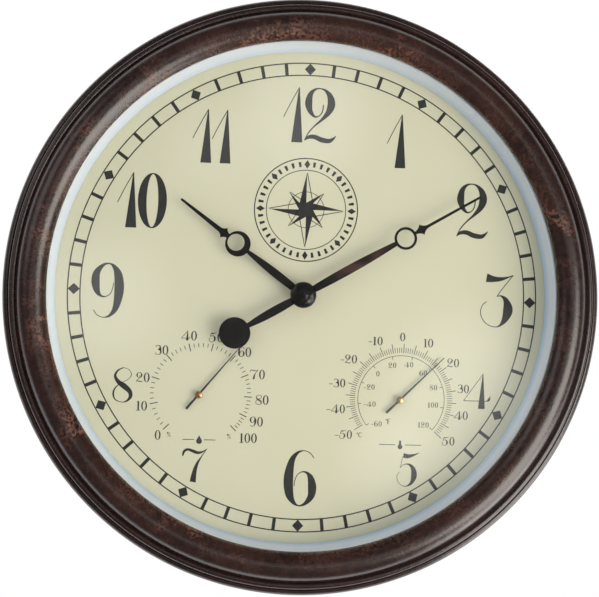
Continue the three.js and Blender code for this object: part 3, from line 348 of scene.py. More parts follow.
fit(rim_moulding, rim_paint, "case", "rim_paint", "rim")

# Glass: a flat round pane, held against the lip by the gasket. Rays from the lamps pass straight
# through it, so that the hands throw their shadows on the dial.
PANE_TINT = (0.99, 0.995, 0.993, 1)
PANE_EDGE = 0.4


def band(name, inner, outer, rear, front, about=(0.0, 0.0), steps=RING_STEPS):
    """A flat ring, or a disc where inner is 0, between two heights."""
    return turned(name, [(inner, rear), (outer, rear), (outer, front), (inner, front)], about, steps)


glass_radius = half_width("lens_glass")
glass_pane = softened(band("glass_pane", 0, glass_radius, *levels("lens_glass")), PANE_EDGE)
pane = finish("clear_glass")
glass_clear = surface(pane, base_color=PANE_TINT, roughness=0.0, ior=1.3, transmission_weight=1.0)
pane_nodes = glass_clear.node_tree.nodes
solid_glass = Shade(glass_clear, pane_nodes["Principled BSDF"].outputs["BSDF"])
open_air = pane.node("ShaderNodeBsdfTransparent", {"Color": PANE_TINT})
passing = pane.math("MAXIMUM", pane.ray("Shadow"), pane.ray("Diffuse"))
mixed = pane.node("ShaderNodeMixShader", {0: passing, 1: solid_glass, 2: open_air})
pane.feed(pane_nodes["Material Output"].inputs["Surface"], mixed)
fit(glass_pane, glass_clear, "case", "glass", "lens_glass")

# Gasket and seal: matt black rubber rings, one between the lip and the glass and one between the
# rim and the back cover. Both are pressed flat where they are held.
GASKET_WIDTH = 1.7
SEAL_WIDTH = 2.4


def flat_ring(name, node, inner, outer, roundness, segments=2, steps=RING_STEPS):
    """A ring as thick as its CAD node, whose edges are rounded by a share of its thickness."""
    rear, front = levels(node)
    ring = band(name, inner, outer, rear, front, steps=steps)
    return softened(ring, (front - rear) * roundness, segments)


rubber = finish("black_rubber")
bloom = rubber.noise(6, 5)
rubber_black = surface(
    rubber,
    base_color=rubber.blend(bloom, (0.006, 0.006, 0.006, 1), (0.02, 0.02, 0.02, 1)),
    roughness=0.65 + 0.2 * bloom,
    normal=rubber.bump(rubber.noise(0.5, 3), 0.03),
)
glass_gasket = flat_ring("glass_gasket", "lens_gasket", glass_radius - GASKET_WIDTH, glass_radius, 0.3, 3)
cover_seal = flat_ring("cover_seal", "case_seal", locating_radius, locating_radius + SEAL_WIDTH, 0.3, 3)
fit(glass_gasket, rubber_black, "case", "rubber", "lens_gasket")
fit(cover_seal, rubber_black, "case", "rubber", "case_seal")

# Spacer: a ring of cool white plastic that holds the dial away from the glass. Its inner wall leans
# out a little towards the glass, and shows all round the dial. A blue painted shade lies at its foot,
# strongest low on the right, where the rim shades it.
SPACER_FOOT = 4.7
SPACER_TOP = 2.2
SPACER_EDGE = 0.35
# Colour of the painted shade at the wall's foot, and the direction of the side where it is strongest
PAINTED_SHADE_BLUE = (0.47, 0.64, 0.86, 1)
SHADED_SIDE = Vector((0.55, 0, -0.83))
spacer_rear, spacer_front = levels("spacer_ring")
dial_edge = glass_radius - SPACER_FOOT
spacer_moulding = turned("spacer_moulding", [
    (dial_edge, spacer_rear),
    (glass_radius, spacer_rear),
    (glass_radius, spacer_front),
    (glass_radius - SPACER_TOP, spacer_front),
])
softened(spacer_moulding, SPACER_EDGE)
white = finish("cool_white_plastic")
moulding_grain = white.noise(1.2, 4)
cool_white = white.blend(white.noise(30, 3), (0.74, 0.79, 0.86, 1), (0.79, 0.83, 0.89, 1))
# Painted shade: the wall's foot is tinted blue, a little all round and most low on the right
downward = white.node(
    "ShaderNodeVectorMath", {0: white.place(), 1: SHADED_SIDE}, output="Value", operation="DOT_PRODUCT"
)
shaded_side = (downward - SHADED_SIDE.z * axis_height).between(-0.09, 0.06)
painted_foot_shade = white.closeness(
    white.place(), spot(0, 0, spacer_rear), (dial_edge + 0.1) * MM, (dial_edge + 1.5) * MM
)
plastic_white = surface(
    white,
    base_color=white.blend(painted_foot_shade * (0.4 + 0.45 * shaded_side), cool_white, PAINTED_SHADE_BLUE),
    roughness=0.38 + 0.12 * moulding_grain,
    normal=white.bump(moulding_grain, 0.02),
)
fit(spacer_moulding, plastic_white, "case", "white_plastic", "spacer_ring")

# Dial: a printed cream sheet, with a hole for the bush of the movement and one for the spindle of
# each instrument. The instruments' axes are where the CAD spindles stand.
DIAL_HOLE_CLEARANCE = 0.3
BUSH_FLANGE = 2.5


def centre_of(node):
    """A CAD node's middle, in millimetres right of and above the hand axis."""
    low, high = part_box(node)
    middle = (low + high) / 2
    return middle.x / MM, (middle.z - axis_height) / MM


def raised(piece, height):
    """Gives a flat piece its thickness and turns its faces outwards."""
    edit(bpy.ops.mesh.extrude_region_move, TRANSFORM_OT_translate={"value": (0, -height * MM, 0)})
    edit(bpy.ops.mesh.normals_make_consistent, inside=False)
    return piece


def plate(name, points, rear, front, turn=0.0, about=(0.0, 0.0)):
    """A flat piece from an outline, turned clockwise by some degrees and set down at about."""
    cosine, sine = math.cos(math.radians(turn)), math.sin(math.radians(turn))
    places = [
        spot(about[0] + x * cosine + y * sine, about[1] + y * cosine - x * sine, rear) for x, y in points
    ]
    return raised(outlined(name, places, "NGON"), front - rear)


def cutter(points, rear, front, turn=0.0, about=(0.0, 0.0)):
    """A tool that reaches a millimetre past both faces of what it goes through."""
    return plate("cutter", points, rear - 1, front + 1, turn, about)


def ring_of(radius, count=64, centre=(0.0, 0.0)):
    """The outline of a circle."""
    return arc(centre, radius, 0, 360, count)[:-1]


def combined(piece, others, operation):
    """Joins other solids to a piece, or cuts them out of it."""
    for other in others:
        modify(piece, "BOOLEAN", operation=operation, solver="MANIFOLD", object=other)
        bpy.data.objects.remove(other)
    pick(piece)
    edit(bpy.ops.mesh.dissolve_limited, angle_limit=math.radians(0.5))
    return piece


def even_finish(name, dark, light, clouds, roughness, spread, grain=None, depth=0.0, **sockets):
    """A finish with clouds of colour, whose gloss and fine relief follow the same noise or a finer one."""
    shade = finish(name)
    cloud = shade.noise(*clouds)
    fine = shade.noise(*grain) if grain else cloud
    if depth:
        sockets["normal"] = shade.bump(fine, depth)
    colour = shade.blend(cloud, dark, light)
    return surface(shade, base_color=colour, roughness=roughness + spread * fine, **sockets)


thermometer_axis = centre_of("thermometer_spindle")
hygrometer_axis = centre_of("hygrometer_spindle")
spindle_radius = half_width("thermometer_spindle")
bush_radius = half_width("mounting_bush") - BUSH_FLANGE
dial_rear, dial_front = levels("dial_plate")
dial_sheet = band("dial_sheet", 0, glass_radius, dial_rear, dial_front)
combined(dial_sheet, [
    cutter(ring_of(radius), dial_rear, dial_front, about=axis)
    for radius, axis in (
        (bush_radius + DIAL_HOLE_CLEARANCE, (0, 0)),
        (spindle_radius + 2 * DIAL_HOLE_CLEARANCE, thermometer_axis),
        (spindle_radius + 2 * DIAL_HOLE_CLEARANCE, hygrometer_axis),
    )
], "DIFFERENCE")
smooth(dial_sheet)
dial_cream = even_finish(
    "cream_dial_sheet", (0.74, 0.69, 0.475, 1), (0.77, 0.725, 0.52, 1), clouds=(70, 2),
    roughness=0.5, spread=0.1, grain=(0.6, 4), depth=0.008, specular_ior_level=0.3,
)
fit(dial_sheet, dial_cream, "case", "dial", "dial_plate")

# Chapter ring: two fine rings of ink with a bar at each minute and a lozenge at each hour, as a thin
# film of ink that was printed on the sheet.
INK_THICKNESS = 0.05
PRINT_CENTRE = (0.9, 0.0)
TRACK_OUTER = 122.3
TRACK_INNER = 115.9
TRACK_LINE = 0.6
MINUTE_BAR_WIDTH = 1.75
LOZENGE_RADIAL = 3.1
LOZENGE_ACROSS = 2.9
PRINT_STEPS = 180


def oblong(left, right, low, high):
    """The outline of a rectangle."""
    return [(left, low), (right, low), (right, high), (left, high)]


def diamond(half_wide, low, high):
    """The outline of a lozenge that stands on its point."""
    middle = (low + high) / 2
    return [(0, low), (half_wide, middle), (0, high), (-half_wide, middle)]


def film(name, points):
    """A filled outline in ink."""
    return plate(name, points, dial_front, dial_front + INK_THICKNESS)


def inked_ring(radius, line, about):
    rear, front = dial_front, dial_front + INK_THICKNESS
    return band("inked_ring", radius - line / 2, radius + line / 2, rear, front, about, PRINT_STEPS)


def copied(piece, degrees=0.0, to=(0.0, 0.0), size=1.0):
    """A copy with its own mesh, turned clockwise round the hand axis, scaled and then moved."""
    copy = piece.copy()
    copy.data = piece.data.copy()
    bpy.context.scene.collection.objects.link(copy)
    turn = Matrix.Rotation(math.radians(degrees), 4, "Y")
    scale = Matrix.Diagonal((size, 1, size, 1))
    home = Matrix.Translation(spot(0, 0, 0)).inverted()
    copy.data.transform(Matrix.Translation(spot(*to, 0)) @ turn @ scale @ home)
    return copy


def repeated(piece, turns, to=(0.0, 0.0)):
    """Copies of a piece round a centre, in place of the piece itself."""
    copies = [copied(piece, degrees, to) for degrees in turns]
    bpy.data.objects.remove(piece)
    return copies


def joined(name, parts):
    """Makes one object of several that don't cross."""
    pick(parts[0])
    for part in parts:
        part.select_set(True)
    bpy.ops.object.join()
    parts[0].name = name
    return parts[0]


bar_low, bar_high = TRACK_INNER + TRACK_LINE / 2, TRACK_OUTER - TRACK_LINE / 2
half_bar = MINUTE_BAR_WIDTH / 2
track_middle = (TRACK_OUTER + TRACK_INNER) / 2
minute_bar = film("minute_bar", oblong(-half_bar, half_bar, bar_low, bar_high))
lozenge = film(
    "lozenge", diamond(LOZENGE_ACROSS, track_middle - LOZENGE_RADIAL, track_middle + LOZENGE_RADIAL)
)
chapter_ring = joined("chapter_ring", [
    inked_ring(TRACK_INNER, TRACK_LINE, PRINT_CENTRE),
    inked_ring(TRACK_OUTER, TRACK_LINE, PRINT_CENTRE),
    *repeated(minute_bar, [6 * minute for minute in range(60) if minute % 5], PRINT_CENTRE),
    *repeated(lozenge, range(0, 360, 30), PRINT_CENTRE),
])
ink_dark = even_finish(
    "dark_grey_ink", (0.024, 0.024, 0.022, 1), (0.046, 0.046, 0.042, 1), clouds=(2.5, 5),
    roughness=0.55, spread=0.1, specular_ior_level=0.3,
)
fit(chapter_ring, ink_dark, "case", "dial")

# Hour numerals: tall and narrow, with full stems and hairlines, printed in the same ink. A stroke is
# a pen's way through points of (right, up, breadth), in hundredths of the numeral's height.
PEN_STEPS = 8
HAIR = 1.4
MODEL_HEIGHT = 100.0
ZERO_WIDTH = 52
ZERO_STEM = 15.5
NUMERAL_STROKES = {
    "1": [[(0, 99, HAIR), (-9, 82, HAIR), (-19, 62, HAIR), (-27, 45, HAIR)]],
    "2": [
        [
            (34, 70, 2), (32, 57, 2), (26, 49, 2), (18, 48, 4), (10, 58, 9), (7, 72, 13), (10, 88, 9),
            (18, 97, 4), (28, 99, 2), (38, 95, 5), (46, 84, 11), (48, 70, 14), (43, 56, 10),
            (32, 43, 5), (19, 31, 2.5), (8, 18, 2), (1, 4, 1),
        ],
        [(1, 4, 1), (8, 10, 6), (19, 11, 8), (32, 6, 9), (45, 4.5, 8), (52, 8, 5), (58, 14, 1)],
    ],
    "3": [
        [(11, 91, 16), (24, 89, 11), (38, 89.5, 7), (51, 93, 3), (61, 97, 1)],
        [(60, 96, HAIR), (45, 77, HAIR), (31, 57, HAIR)],
        [
            (31, 57, 1), (39, 58, 3), (48, 50, 10), (52, 33, 18), (47, 16, 12), (38, 4, 4),
            (28, 0.7, HAIR), (14, 5, HAIR), (4, 16, HAIR), (1, 29, HAIR), (5, 41, HAIR), (12, 47, HAIR),
        ],
    ],
    "4": [
        [(0, 98, HAIR), (-27, 60, HAIR), (-54, 22, HAIR)],
        [(-54, 22, 1.8), (-20, 22, 1.8), (8, 22, 1.8)],
        [(6, 22, 1.5), (13, 22.5, 3), (18, 26, 7), (22, 36, 1)],
    ],
    "5": [
        [(19, 91, 14), (33, 89, 12), (50, 93, 6), (66, 99.5, 1)],
        [(17, 88, HAIR), (14, 71, HAIR), (11, 55, HAIR)],
        [
            (11, 55, HAIR), (23, 65, 2), (38, 64, 6), (49, 52, 13), (52, 32, 17), (46, 13, 10),
            (34, 2.5, 4), (19, 1.5, HAIR), (5, 13, HAIR), (1.5, 30, HAIR), (8, 42, HAIR),
        ],
    ],
    "6": [
        [
            (54, 86, HAIR), (47, 95, HAIR), (36, 99, HAIR), (24, 95, 5), (14, 80, 11), (9, 50, 17),
            (11, 23, 15), (18, 8, 8), (28, 1, 2.5), (40, 5, 6), (50, 18, 12), (52, 34, 15),
            (49, 50, 11), (43, 59, 5), (34, 61.5, 2), (25, 56, HAIR), (20.5, 45, HAIR), (19.5, 36, HAIR),
        ],
    ],
    "7": [
        [(2, 76, 4), (6, 89, 7), (17, 95, 7), (32, 90.5, 9), (47, 86, 8), (62, 90, 4), (73, 98, 1)],
        [(73, 98, 1), (57, 74, 3), (45, 53, 8), (38, 29, 13), (34, 0, 18)],
    ],
    "8": [
        [
            (31, 99.5, 1.6), (15, 91, 5), (8, 75, 7.5), (18, 58.5, 12), (34, 47, 16), (50, 33, 13),
            (53.5, 18, 10), (44, 5, 5), (29, 0.8, 1.8), (10, 8, 3), (4, 25, 5), (10, 42, 3.5),
            (27, 57, HAIR), (46, 67, HAIR), (54.5, 81, 2), (46, 95, HAIR), (31, 99.5, 1.6), (25, 97.5, 2),
        ],
    ],
}
NUMERAL_STEMS = {
    "1": [(-12, 0), (8, 0), (0.9, 100), (-0.5, 100)],
    "4": [(-12.5, 0), (7, 0), (0.9, 100), (-0.5, 100)],
}


def ribbon(name, left, right):
    """A film of ink between two rows of points."""
    bpy.ops.object.select_all(action="DESELECT")
    bpy.ops.mesh.primitive_grid_add(x_subdivisions=1, y_subdivisions=len(left) - 1, size=1.0)
    shaped(name, [spot(x, y, dial_front) for pair in zip(left, right) for x, y in pair])
    return raised(bpy.context.object, INK_THICKNESS)


def eased(a, b, c, d, t):
    """A value on a smooth curve from b to c, a share t of the way, and the curve's slope there."""
    slope, bend, twist = c - a, 2 * a - 5 * b + 4 * c - d, 3 * b - a - 3 * c + d
    return (2 * b + slope * t + bend * t**2 + twist * t**3) / 2, slope + 2 * bend * t + 3 * twist * t**2


def pen_stroke(points, steps, thinnest, widen):
    """A stroke whose middle line and breadth run smoothly through its points."""
    left, right = [], []
    padded = [points[0], *points, points[-1]]
    spans = list(zip(padded, padded[1:], padded[2:], padded[3:]))
    for index, span in enumerate(spans):
        for step in range(steps + (index == len(spans) - 1)):
            (x, along), (y, rise), (breadth, _) = [eased(*ends, step / steps) for ends in zip(*span)]
            reach = max(math.hypot(along, rise), 1e-6)
            half = max(breadth, thinnest) / 2
            across = (-rise / reach * half, along / reach * half)
            left.append(((x + across[0]) * widen, y + across[1]))
            right.append(((x - across[0]) * widen, y - across[1]))
    return ribbon("pen_stroke", left, right)


def oval(width, height):
    return arc((0, MODEL_HEIGHT / 2), width / 2, 0, 360, 64, height / 2)[:-1]


def figures(strokes, stems, steps, thinnest, zero_hair, widen=1.0):
    """Figures in ink, a hundred millimetres high, from which the copies are made."""
    models = {}
    for figure, lines in strokes.items():
        parts = [pen_stroke(line, steps, thinnest, widen) for line in lines]
        if figure in stems:
            parts.append(film("stem", [(x * widen, y) for x, y in stems[figure]]))
        models[figure] = combined(parts[0], parts[1:], "UNION")
    width = ZERO_WIDTH * widen
    hollow = cutter(oval(width - 2 * ZERO_STEM, MODEL_HEIGHT - 2 * zero_hair), dial_front, dial_front)
    models["0"] = combined(film("nought", oval(width, MODEL_HEIGHT)), [hollow], "DIFFERENCE")
    models["9"] = copied(models["6"], 180, (0, MODEL_HEIGHT))
    return models


def extent(piece):
    """The left, right, lower and upper ends of a piece on the dial, in millimetres."""
    across = [vertex.co.x / MM for vertex in piece.data.vertices]
    height = [(vertex.co.z - axis_height) / MM for vertex in piece.data.vertices]
    return min(across), max(across), min(height), max(height)


def written(text, models, height, centre, gap):
    """Copies of the figures, side by side and centred on a place."""
    copies = []
    edge = 0.0
    size = height / MODEL_HEIGHT
    for figure in text:
        left, right, _, _ = extent(models[figure])
        copies.append(copied(models[figure], to=(edge - left * size, 0), size=size))
        edge += (right - left) * size + gap
    line = joined(f"text_{text}", copies)
    left, right, low, high = extent(line)
    shift = (centre[0] - (left + right) / 2, centre[1] - (low + high) / 2)
    line.data.transform(Matrix.Translation((shift[0] * MM, 0, shift[1] * MM)))
    return line


# Each numeral, its height, the place of its middle from the hand axis and the gap within it
NUMERALS = (
    ("12", 29.1, (1.4, 94.9), 0.9),
    ("1", 28.4, (47.3, 82.9), 0.4),
    ("2", 29.2, (88.7, 47.4), 0.4),
    ("3", 28.5, (102.5, 0.6), 0.4),
    ("4", 18.5, (93.1, -47.2), 0.4),
    ("5", 17.6, (57.6, -88.9), 0.4),
    ("6", 28.9, (1.5, -94.7), 0.4),
    ("7", 17.5, (-53.4, -89.3), 0.4),
    ("8", 17.9, (-91.4, -48.9), 0.4),
    ("9", 28.5, (-100.9, -0.3), 0.4),
    ("10", 28.8, (-84.7, 47.0), 0.4),
    ("11", 28.2, (-49.6, 81.9), 0.0),
)
numeral_models = figures(NUMERAL_STROKES, NUMERAL_STEMS, PEN_STEPS, HAIR, HAIR * 1.5)
hour_numerals = joined("hour_numerals", [
    written(text, numeral_models, height, centre, gap) for text, height, centre, gap in NUMERALS
])
fit(hour_numerals, ink_dark, "case", "dial")

# Ornament: a wind rose on a ring of dashes above the hand axis, in the same ink. Each point of the rose
# has one full side and one side left open behind a fine line.
ROSE_CENTRE = (0.7, 45.0)
ROSE_RINGS = ((27.0, 0.55), (20.8, 0.4), (9.4, 0.3))
ROSE_POINT = (19.4, 3.5)
ROSE_SIDE_POINT = (12.6, 2.6)
ROSE_LINE = 0.4
ROSE_DASH = ((-0.55, 22.6), (0.55, 22.6), (0.75, 25.3), (-0.75, 25.3))
ROSE_LOZENGE = (1.5, 21.6, 26.2)


def inked_line(start, end, line):
    """A fine straight line, as a ribbon of one breadth."""
    (x, y), (end_x, end_y) = start, end
    reach = math.hypot(end_x - x, end_y - y)
    across = ((y - end_y) / reach * line / 2, (end_x - x) / reach * line / 2)
    left = [(x + across[0], y + across[1]), (end_x + across[0], end_y + across[1])]
    right = [(x - across[0], y - across[1]), (end_x - across[0], end_y - across[1])]
    return ribbon("inked_line", left, right)


def rose_points(reach, root, turns):
    """Points of the rose, each with a dark half on its left and a lined half on its right."""
    dark = film("rose_point", [(0, 0), (0, reach), (-root, root)])
    point = joined("rose_point", [dark, inked_line((ROSE_LINE / 2, reach), (root, root), ROSE_LINE)])
    return repeated(point, turns, ROSE_CENTRE)


wind_rose = joined("wind_rose", [
    *[inked_ring(radius, line, ROSE_CENTRE) for radius, line in ROSE_RINGS],
    *rose_points(*ROSE_POINT, range(0, 360, 90)),
    *rose_points(*ROSE_SIDE_POINT, range(45, 405, 90)),
    *repeated(film("dash", ROSE_DASH), [turn for turn in range(0, 360, 9) if turn % 45], ROSE_CENTRE),
    *repeated(film("lozenge", diamond(*ROSE_LOZENGE)), range(0, 360, 45), ROSE_CENTRE),
])
fit(wind_rose, ink_dark, "case", "dial")

# Small figures for the two scales: the same hand, with a seriffed one, a round three and a few more
# signs. They are drawn with fewer points, because each is printed many times.
SCALE_PEN_STEPS = 4
SCALE_HAIR = 5.0
SCALE_WIDEN = 1.16
SCALE_STROKES = {
    "1": [
        [(12, 88, 4), (20, 90, 5), (27, 97, 4)],
        [(27, 96, 14), (27, 50, 15), (27, 4, 14)],
        [(8, 2, 4), (46, 2, 4)],
    ],
    "3": [
        [
            (8, 82, 10), (14, 93, 6), (27, 97, 5), (42, 90, 10), (46, 76, 13), (40, 62, 8), (26, 54, 3.5),
            (38, 50, 6), (50, 40, 12), (52, 26, 14), (44, 8, 9), (28, 2.5, 4), (12, 6, 6), (6, 18, 10),
        ],
    ],
    "-": [[(0, 38, 7), (36, 38, 7)]],
    "C": [
        [
            (54, 74, 9), (46, 90, 6), (30, 96, 5), (14, 84, 10), (7, 50, 14), (14, 16, 10), (30, 4, 5),
            (46, 10, 6), (55, 28, 6),
        ],
    ],
    "F": [[(10, 0, 14), (10, 100, 14)], [(10, 97, 6), (56, 97, 6)], [(10, 53, 6), (42, 53, 6)]],
    "°": [[(10, 78, 5), (19, 69, 5), (28, 78, 5), (19, 88, 5), (10, 78, 5), (19, 69, 5)]],
    "%": [
        [(3, 76, 6), (14, 60, 6), (25, 76, 6), (14, 94, 6), (3, 76, 6), (14, 60, 6)],
        [(40, 24, 6), (51, 8, 6), (62, 24, 6), (51, 40, 6), (40, 24, 6), (51, 8, 6)],
        [(8, 0, 4), (56, 98, 4)],
    ],
}
SCALE_STEMS = {"4": [(-13, 0), (9, 0), (3, 100), (-2, 100)]}


def toward(axis, distance, degrees):
    """The point at a distance from an instrument's axis, in a clock direction."""
    angle = math.radians(degrees)
    return axis[0] + distance * math.sin(angle), axis[1] + distance * math.cos(angle)


def ticks(axis, turns, inner, outer, line):
    """Fine strokes of ink that point at an instrument's axis."""
    return repeated(film("tick", oblong(-line / 2, line / 2, inner, outer)), turns, axis)


def labels(axis, places, height, gap=0.4):
    """Small figures or signs, each at a distance and a clock direction from an instrument's axis."""
    return [
        written(str(value), scale_models, height, toward(axis, distance, turn), gap)
        for value, distance, turn in places
    ]


scale_strokes = {**NUMERAL_STROKES, **SCALE_STROKES}
scale_models = figures(scale_strokes, SCALE_STEMS, SCALE_PEN_STEPS, SCALE_HAIR, SCALE_HAIR, SCALE_WIDEN)

# Thermometer's scale: a degree of Celsius to each fine tick, Fahrenheit on an arc inside it, and a
# small bulb and tube under the axis. A tick is its inner end, its outer end and its breadth.
CELSIUS_HEIGHT = 4.5
CELSIUS_TICK = (24.2, 26.9, 0.26)
CELSIUS_LONG_TICK = (24.2, 29.1, 0.34)
FAHRENHEIT_HEIGHT = 2.8
FAHRENHEIT_TICK = (21.1, 22.5, 0.3)
FAHRENHEIT_ARC = 22.7
FAHRENHEIT_LINE = 0.26
FAHRENHEIT_TURNS = (-128.0, -97.2, -68.2, -41.4, -13.2, 14.0, 43.0, 72.3, 100.0, 133.1)
THERMOMETER_PRINT = (0.85, 0.3)
CELSIUS_LABELS = (
    (-50, 35.3, -122.6), (-40, 34.6, -99.7), (-30, 34.5, -77.3), (-20, 34.5, -54.1), (-10, 33.2, -25.2),
    (0, 32.5, 0.1), (10, 32.7, 24.7), (20, 33.4, 53.8), (30, 33.2, 79.1), (40, 32.6, 103.6),
    (50, 33.0, 130.0),
)
FAHRENHEIT_LABELS = (
    (-60, 18.2, -136.0), (-40, 16.7, -99.9), (-20, 17.9, -70.5), (0, 18.0, -43.9), (20, 18.3, -15.9),
    (40, 18.5, 11.2), (60, 17.9, 39.0), (80, 18.1, 68.7), (100, 17.0, 98.7), (120, 17.7, 137.3),
)
DEGREE_SIGNS = (("°F", 13.4, -150.9), ("°C", 28.7, -131.5))
SIGN_GAP = 0.2
MOTIF_DROP = 23.7
MOTIF_LINE = 0.35
MOTIF_GAP = 2.6
BULB_MOTIF = [*arc((0, -1.0), 1.25, -240, 60, 15), (0.5, 2.0), (0.25, 2.25), (-0.25, 2.25), (-0.5, 2.0)]
BULB_RULE = 11.0


def celsius_turns(degrees):
    """Clock directions of degrees on the scale, which opens out a little towards its warm end."""
    return [1.9 + 2.57 * degree + 0.0009 * degree**2 for degree in degrees]


def moved(place, shift):
    return place[0] + shift[0], place[1] + shift[1]


def inked_arc(axis, radius, start, end, line, steps=90):
    turns = [start + (end - start) * step / steps for step in range(steps + 1)]
    inner, outer = [[toward(axis, radius + side * line / 2, turn) for turn in turns] for side in (-1, 1)]
    return ribbon("inked_arc", inner, outer)


def motif(axis, outline, rule_end):
    """A small sign under an instrument's axis, between two fine lines."""
    x, y = moved(axis, (0, -MOTIF_DROP))
    sign = film("motif", [moved((x, y), point) for point in outline])
    ends = [(x + side * MOTIF_GAP, x + side * rule_end) for side in (-1, 1)]
    return [sign, *[inked_line((start, y), (end, y), MOTIF_LINE) for start, end in ends]]


centre = moved(thermometer_axis, THERMOMETER_PRINT)
temperature_scale = joined("temperature_scale", [
    *ticks(centre, celsius_turns([degree for degree in range(-50, 51) if degree % 5]), *CELSIUS_TICK),
    *ticks(centre, celsius_turns(range(-50, 51, 5)), *CELSIUS_LONG_TICK),
    inked_arc(centre, FAHRENHEIT_ARC, FAHRENHEIT_TURNS[0], FAHRENHEIT_TURNS[-1], FAHRENHEIT_LINE),
    *ticks(centre, FAHRENHEIT_TURNS, *FAHRENHEIT_TICK),
    *labels(centre, CELSIUS_LABELS, CELSIUS_HEIGHT),
    *labels(centre, FAHRENHEIT_LABELS, FAHRENHEIT_HEIGHT),
    *labels(centre, DEGREE_SIGNS, FAHRENHEIT_HEIGHT, SIGN_GAP),
    *motif(centre, BULB_MOTIF, BULB_RULE),
])
ink_fine = even_finish(
    "fine_grey_ink", (0.035, 0.035, 0.033, 1), (0.075, 0.074, 0.066, 1), clouds=(0.8, 3),
    roughness=0.6, spread=0.0, specular_ior_level=0.3,
)
fit(temperature_scale, ink_fine, "case", "dial")

# Hygrometer's scale: relative humidity from 0 to 100, with a tick at every second one, wider apart at
# the dry end, and a small drop under the axis.
HUMIDITY_HEIGHT = 5.0
HUMIDITY_TICK = (24.1, 26.1, 0.34)
HUMIDITY_LONG_TICK = (22.5, 26.6, 0.46)
HYGROMETER_PRINT = (1.0, 0.45)
HUMIDITY_TURNS = (-135.3, -102.8, -72.3, -42.7, -14.8, 12.6, 40.8, 66.8, 92.5, 115.4, 135.1)
HUMIDITY_LABELS = (
    (0, 30.5, -135.6), (10, 30.9, -103.1), (20, 30.9, -75.6), (30, 30.2, -43.2), (40, 30.6, -12.9),
    (50, 30.2, 13.6), (60, 31.3, 45.0), (70, 31.0, 69.8), (80, 32.0, 94.3), (90, 32.3, 115.1),
    (100, 33.7, 131.4),
)
PERCENT_HEIGHT = 2.6
PERCENT_SIGNS = (("%", 26.5, -143.8), ("%", 26.5, 144.7))
DROP_MOTIF = [*arc((0, -0.7), 1.5, -210, 30, 16), (0.5, 1.3), (0, 2.3), (-0.5, 1.3)]
DROP_RULE = 8.5
between_tens = [
    low + (high - low) * step / 5
    for low, high in zip(HUMIDITY_TURNS, HUMIDITY_TURNS[1:])
    for step in range(1, 5)
]
centre = moved(hygrometer_axis, HYGROMETER_PRINT)
humidity_scale = joined("humidity_scale", [
    *ticks(centre, between_tens, *HUMIDITY_TICK),
    *ticks(centre, HUMIDITY_TURNS, *HUMIDITY_LONG_TICK),
    *labels(centre, HUMIDITY_LABELS, HUMIDITY_HEIGHT),
    *labels(centre, PERCENT_SIGNS, PERCENT_HEIGHT, SIGN_GAP),
    *motif(centre, DROP_MOTIF, DROP_RULE),
])
fit(humidity_scale, ink_fine, "case", "dial")
for model in [*numeral_models.values(), *scale_models.values()]:
    bpy.data.objects.remove(model)

# Mounting: a brass bush through the dial holds the movement, with a rubber washer behind the sheet
# and a thin washer and a six-sided nut in front of it.
NUT_CHAMFER = 0.35
NUT_TOP_SHARE = 0.88
THREAD_PITCH = 0.45
THREAD_DEPTH = 0.14
BUSH_WALL = 1.0
BUSH_CHAMFER = 0.3
WASHER_CLEARANCE = 0.3
TUBE_STEPS = 48


def thread(first, second, start, pitch, count):
    """The zigzag of a screw thread in a section, which runs between two radii."""
    lows = [start + index * pitch for index in range(count)]
    return [point for low in lows for point in ((first, low), (second, low + pitch / 2))]


bush_rear, bush_front = levels("mounting_bush")
bush_bore = bush_radius - BUSH_WALL
flange_rear, flange_front = levels("mounting_washer")
bush_thread_end = bush_front - BUSH_CHAMFER
bush_turns = int((bush_thread_end - flange_front) / THREAD_PITCH)
threaded_bush = turned("threaded_bush", [
    (bush_bore, bush_rear),
    (bush_radius, bush_rear),
    (bush_radius, flange_rear),
    (bush_radius + BUSH_FLANGE, flange_rear),
    (bush_radius + BUSH_FLANGE, flange_front),
    *thread(bush_radius, bush_radius - THREAD_DEPTH, flange_front + 0.1, THREAD_PITCH, bush_turns),
    (bush_radius, bush_thread_end),
    (bush_radius - 0.25, bush_front),
    (bush_bore, bush_front),
], steps=TUBE_STEPS)
smooth(threaded_bush, 40)
rubber_washer, thin_washer = [
    flat_ring(name, node, bore + WASHER_CLEARANCE, half_width(node), 0.2, steps=TUBE_STEPS)
    for name, node, bore in (
        ("rubber_washer", "mounting_washer", bush_radius + BUSH_FLANGE),
        ("thin_washer", "front_washer", bush_radius),
    )
]
nut_rear, nut_front = levels("mounting_nut")
nut_radius = half_width("mounting_nut")
hex_nut = plate("hex_nut", ring_of(nut_radius, 6), nut_rear, nut_front)
cone = turned("nut_cone", [
    (0, nut_rear - 0.2),
    (nut_radius - 0.05, nut_rear - 0.2),
    (nut_radius - 0.05, nut_front - NUT_CHAMFER),
    (nut_radius * NUT_TOP_SHARE, nut_front),
    (0, nut_front),
], steps=TUBE_STEPS)
combined(hex_nut, [cone], "INTERSECT")
combined(hex_nut, [cutter(ring_of(bush_radius + 0.05, 48), nut_rear, nut_front)], "DIFFERENCE")
smooth(hex_nut, 25)


def metal(name, dark, light, roughness, grain_size=1.5):
    """A bare metal with fine scratches and a little tarnish."""
    shade = finish(name)
    tarnish = shade.noise(grain_size * 4, 5)
    scratch = shade.noise(grain_size * 0.4, 3, (1, 1, 6))
    return surface(
        shade,
        base_color=shade.blend(tarnish.between(0.3, 0.75), light, dark),
        metallic=1.0,
        roughness=roughness + 0.15 * scratch,
        normal=shade.bump(scratch, 0.006),
    )


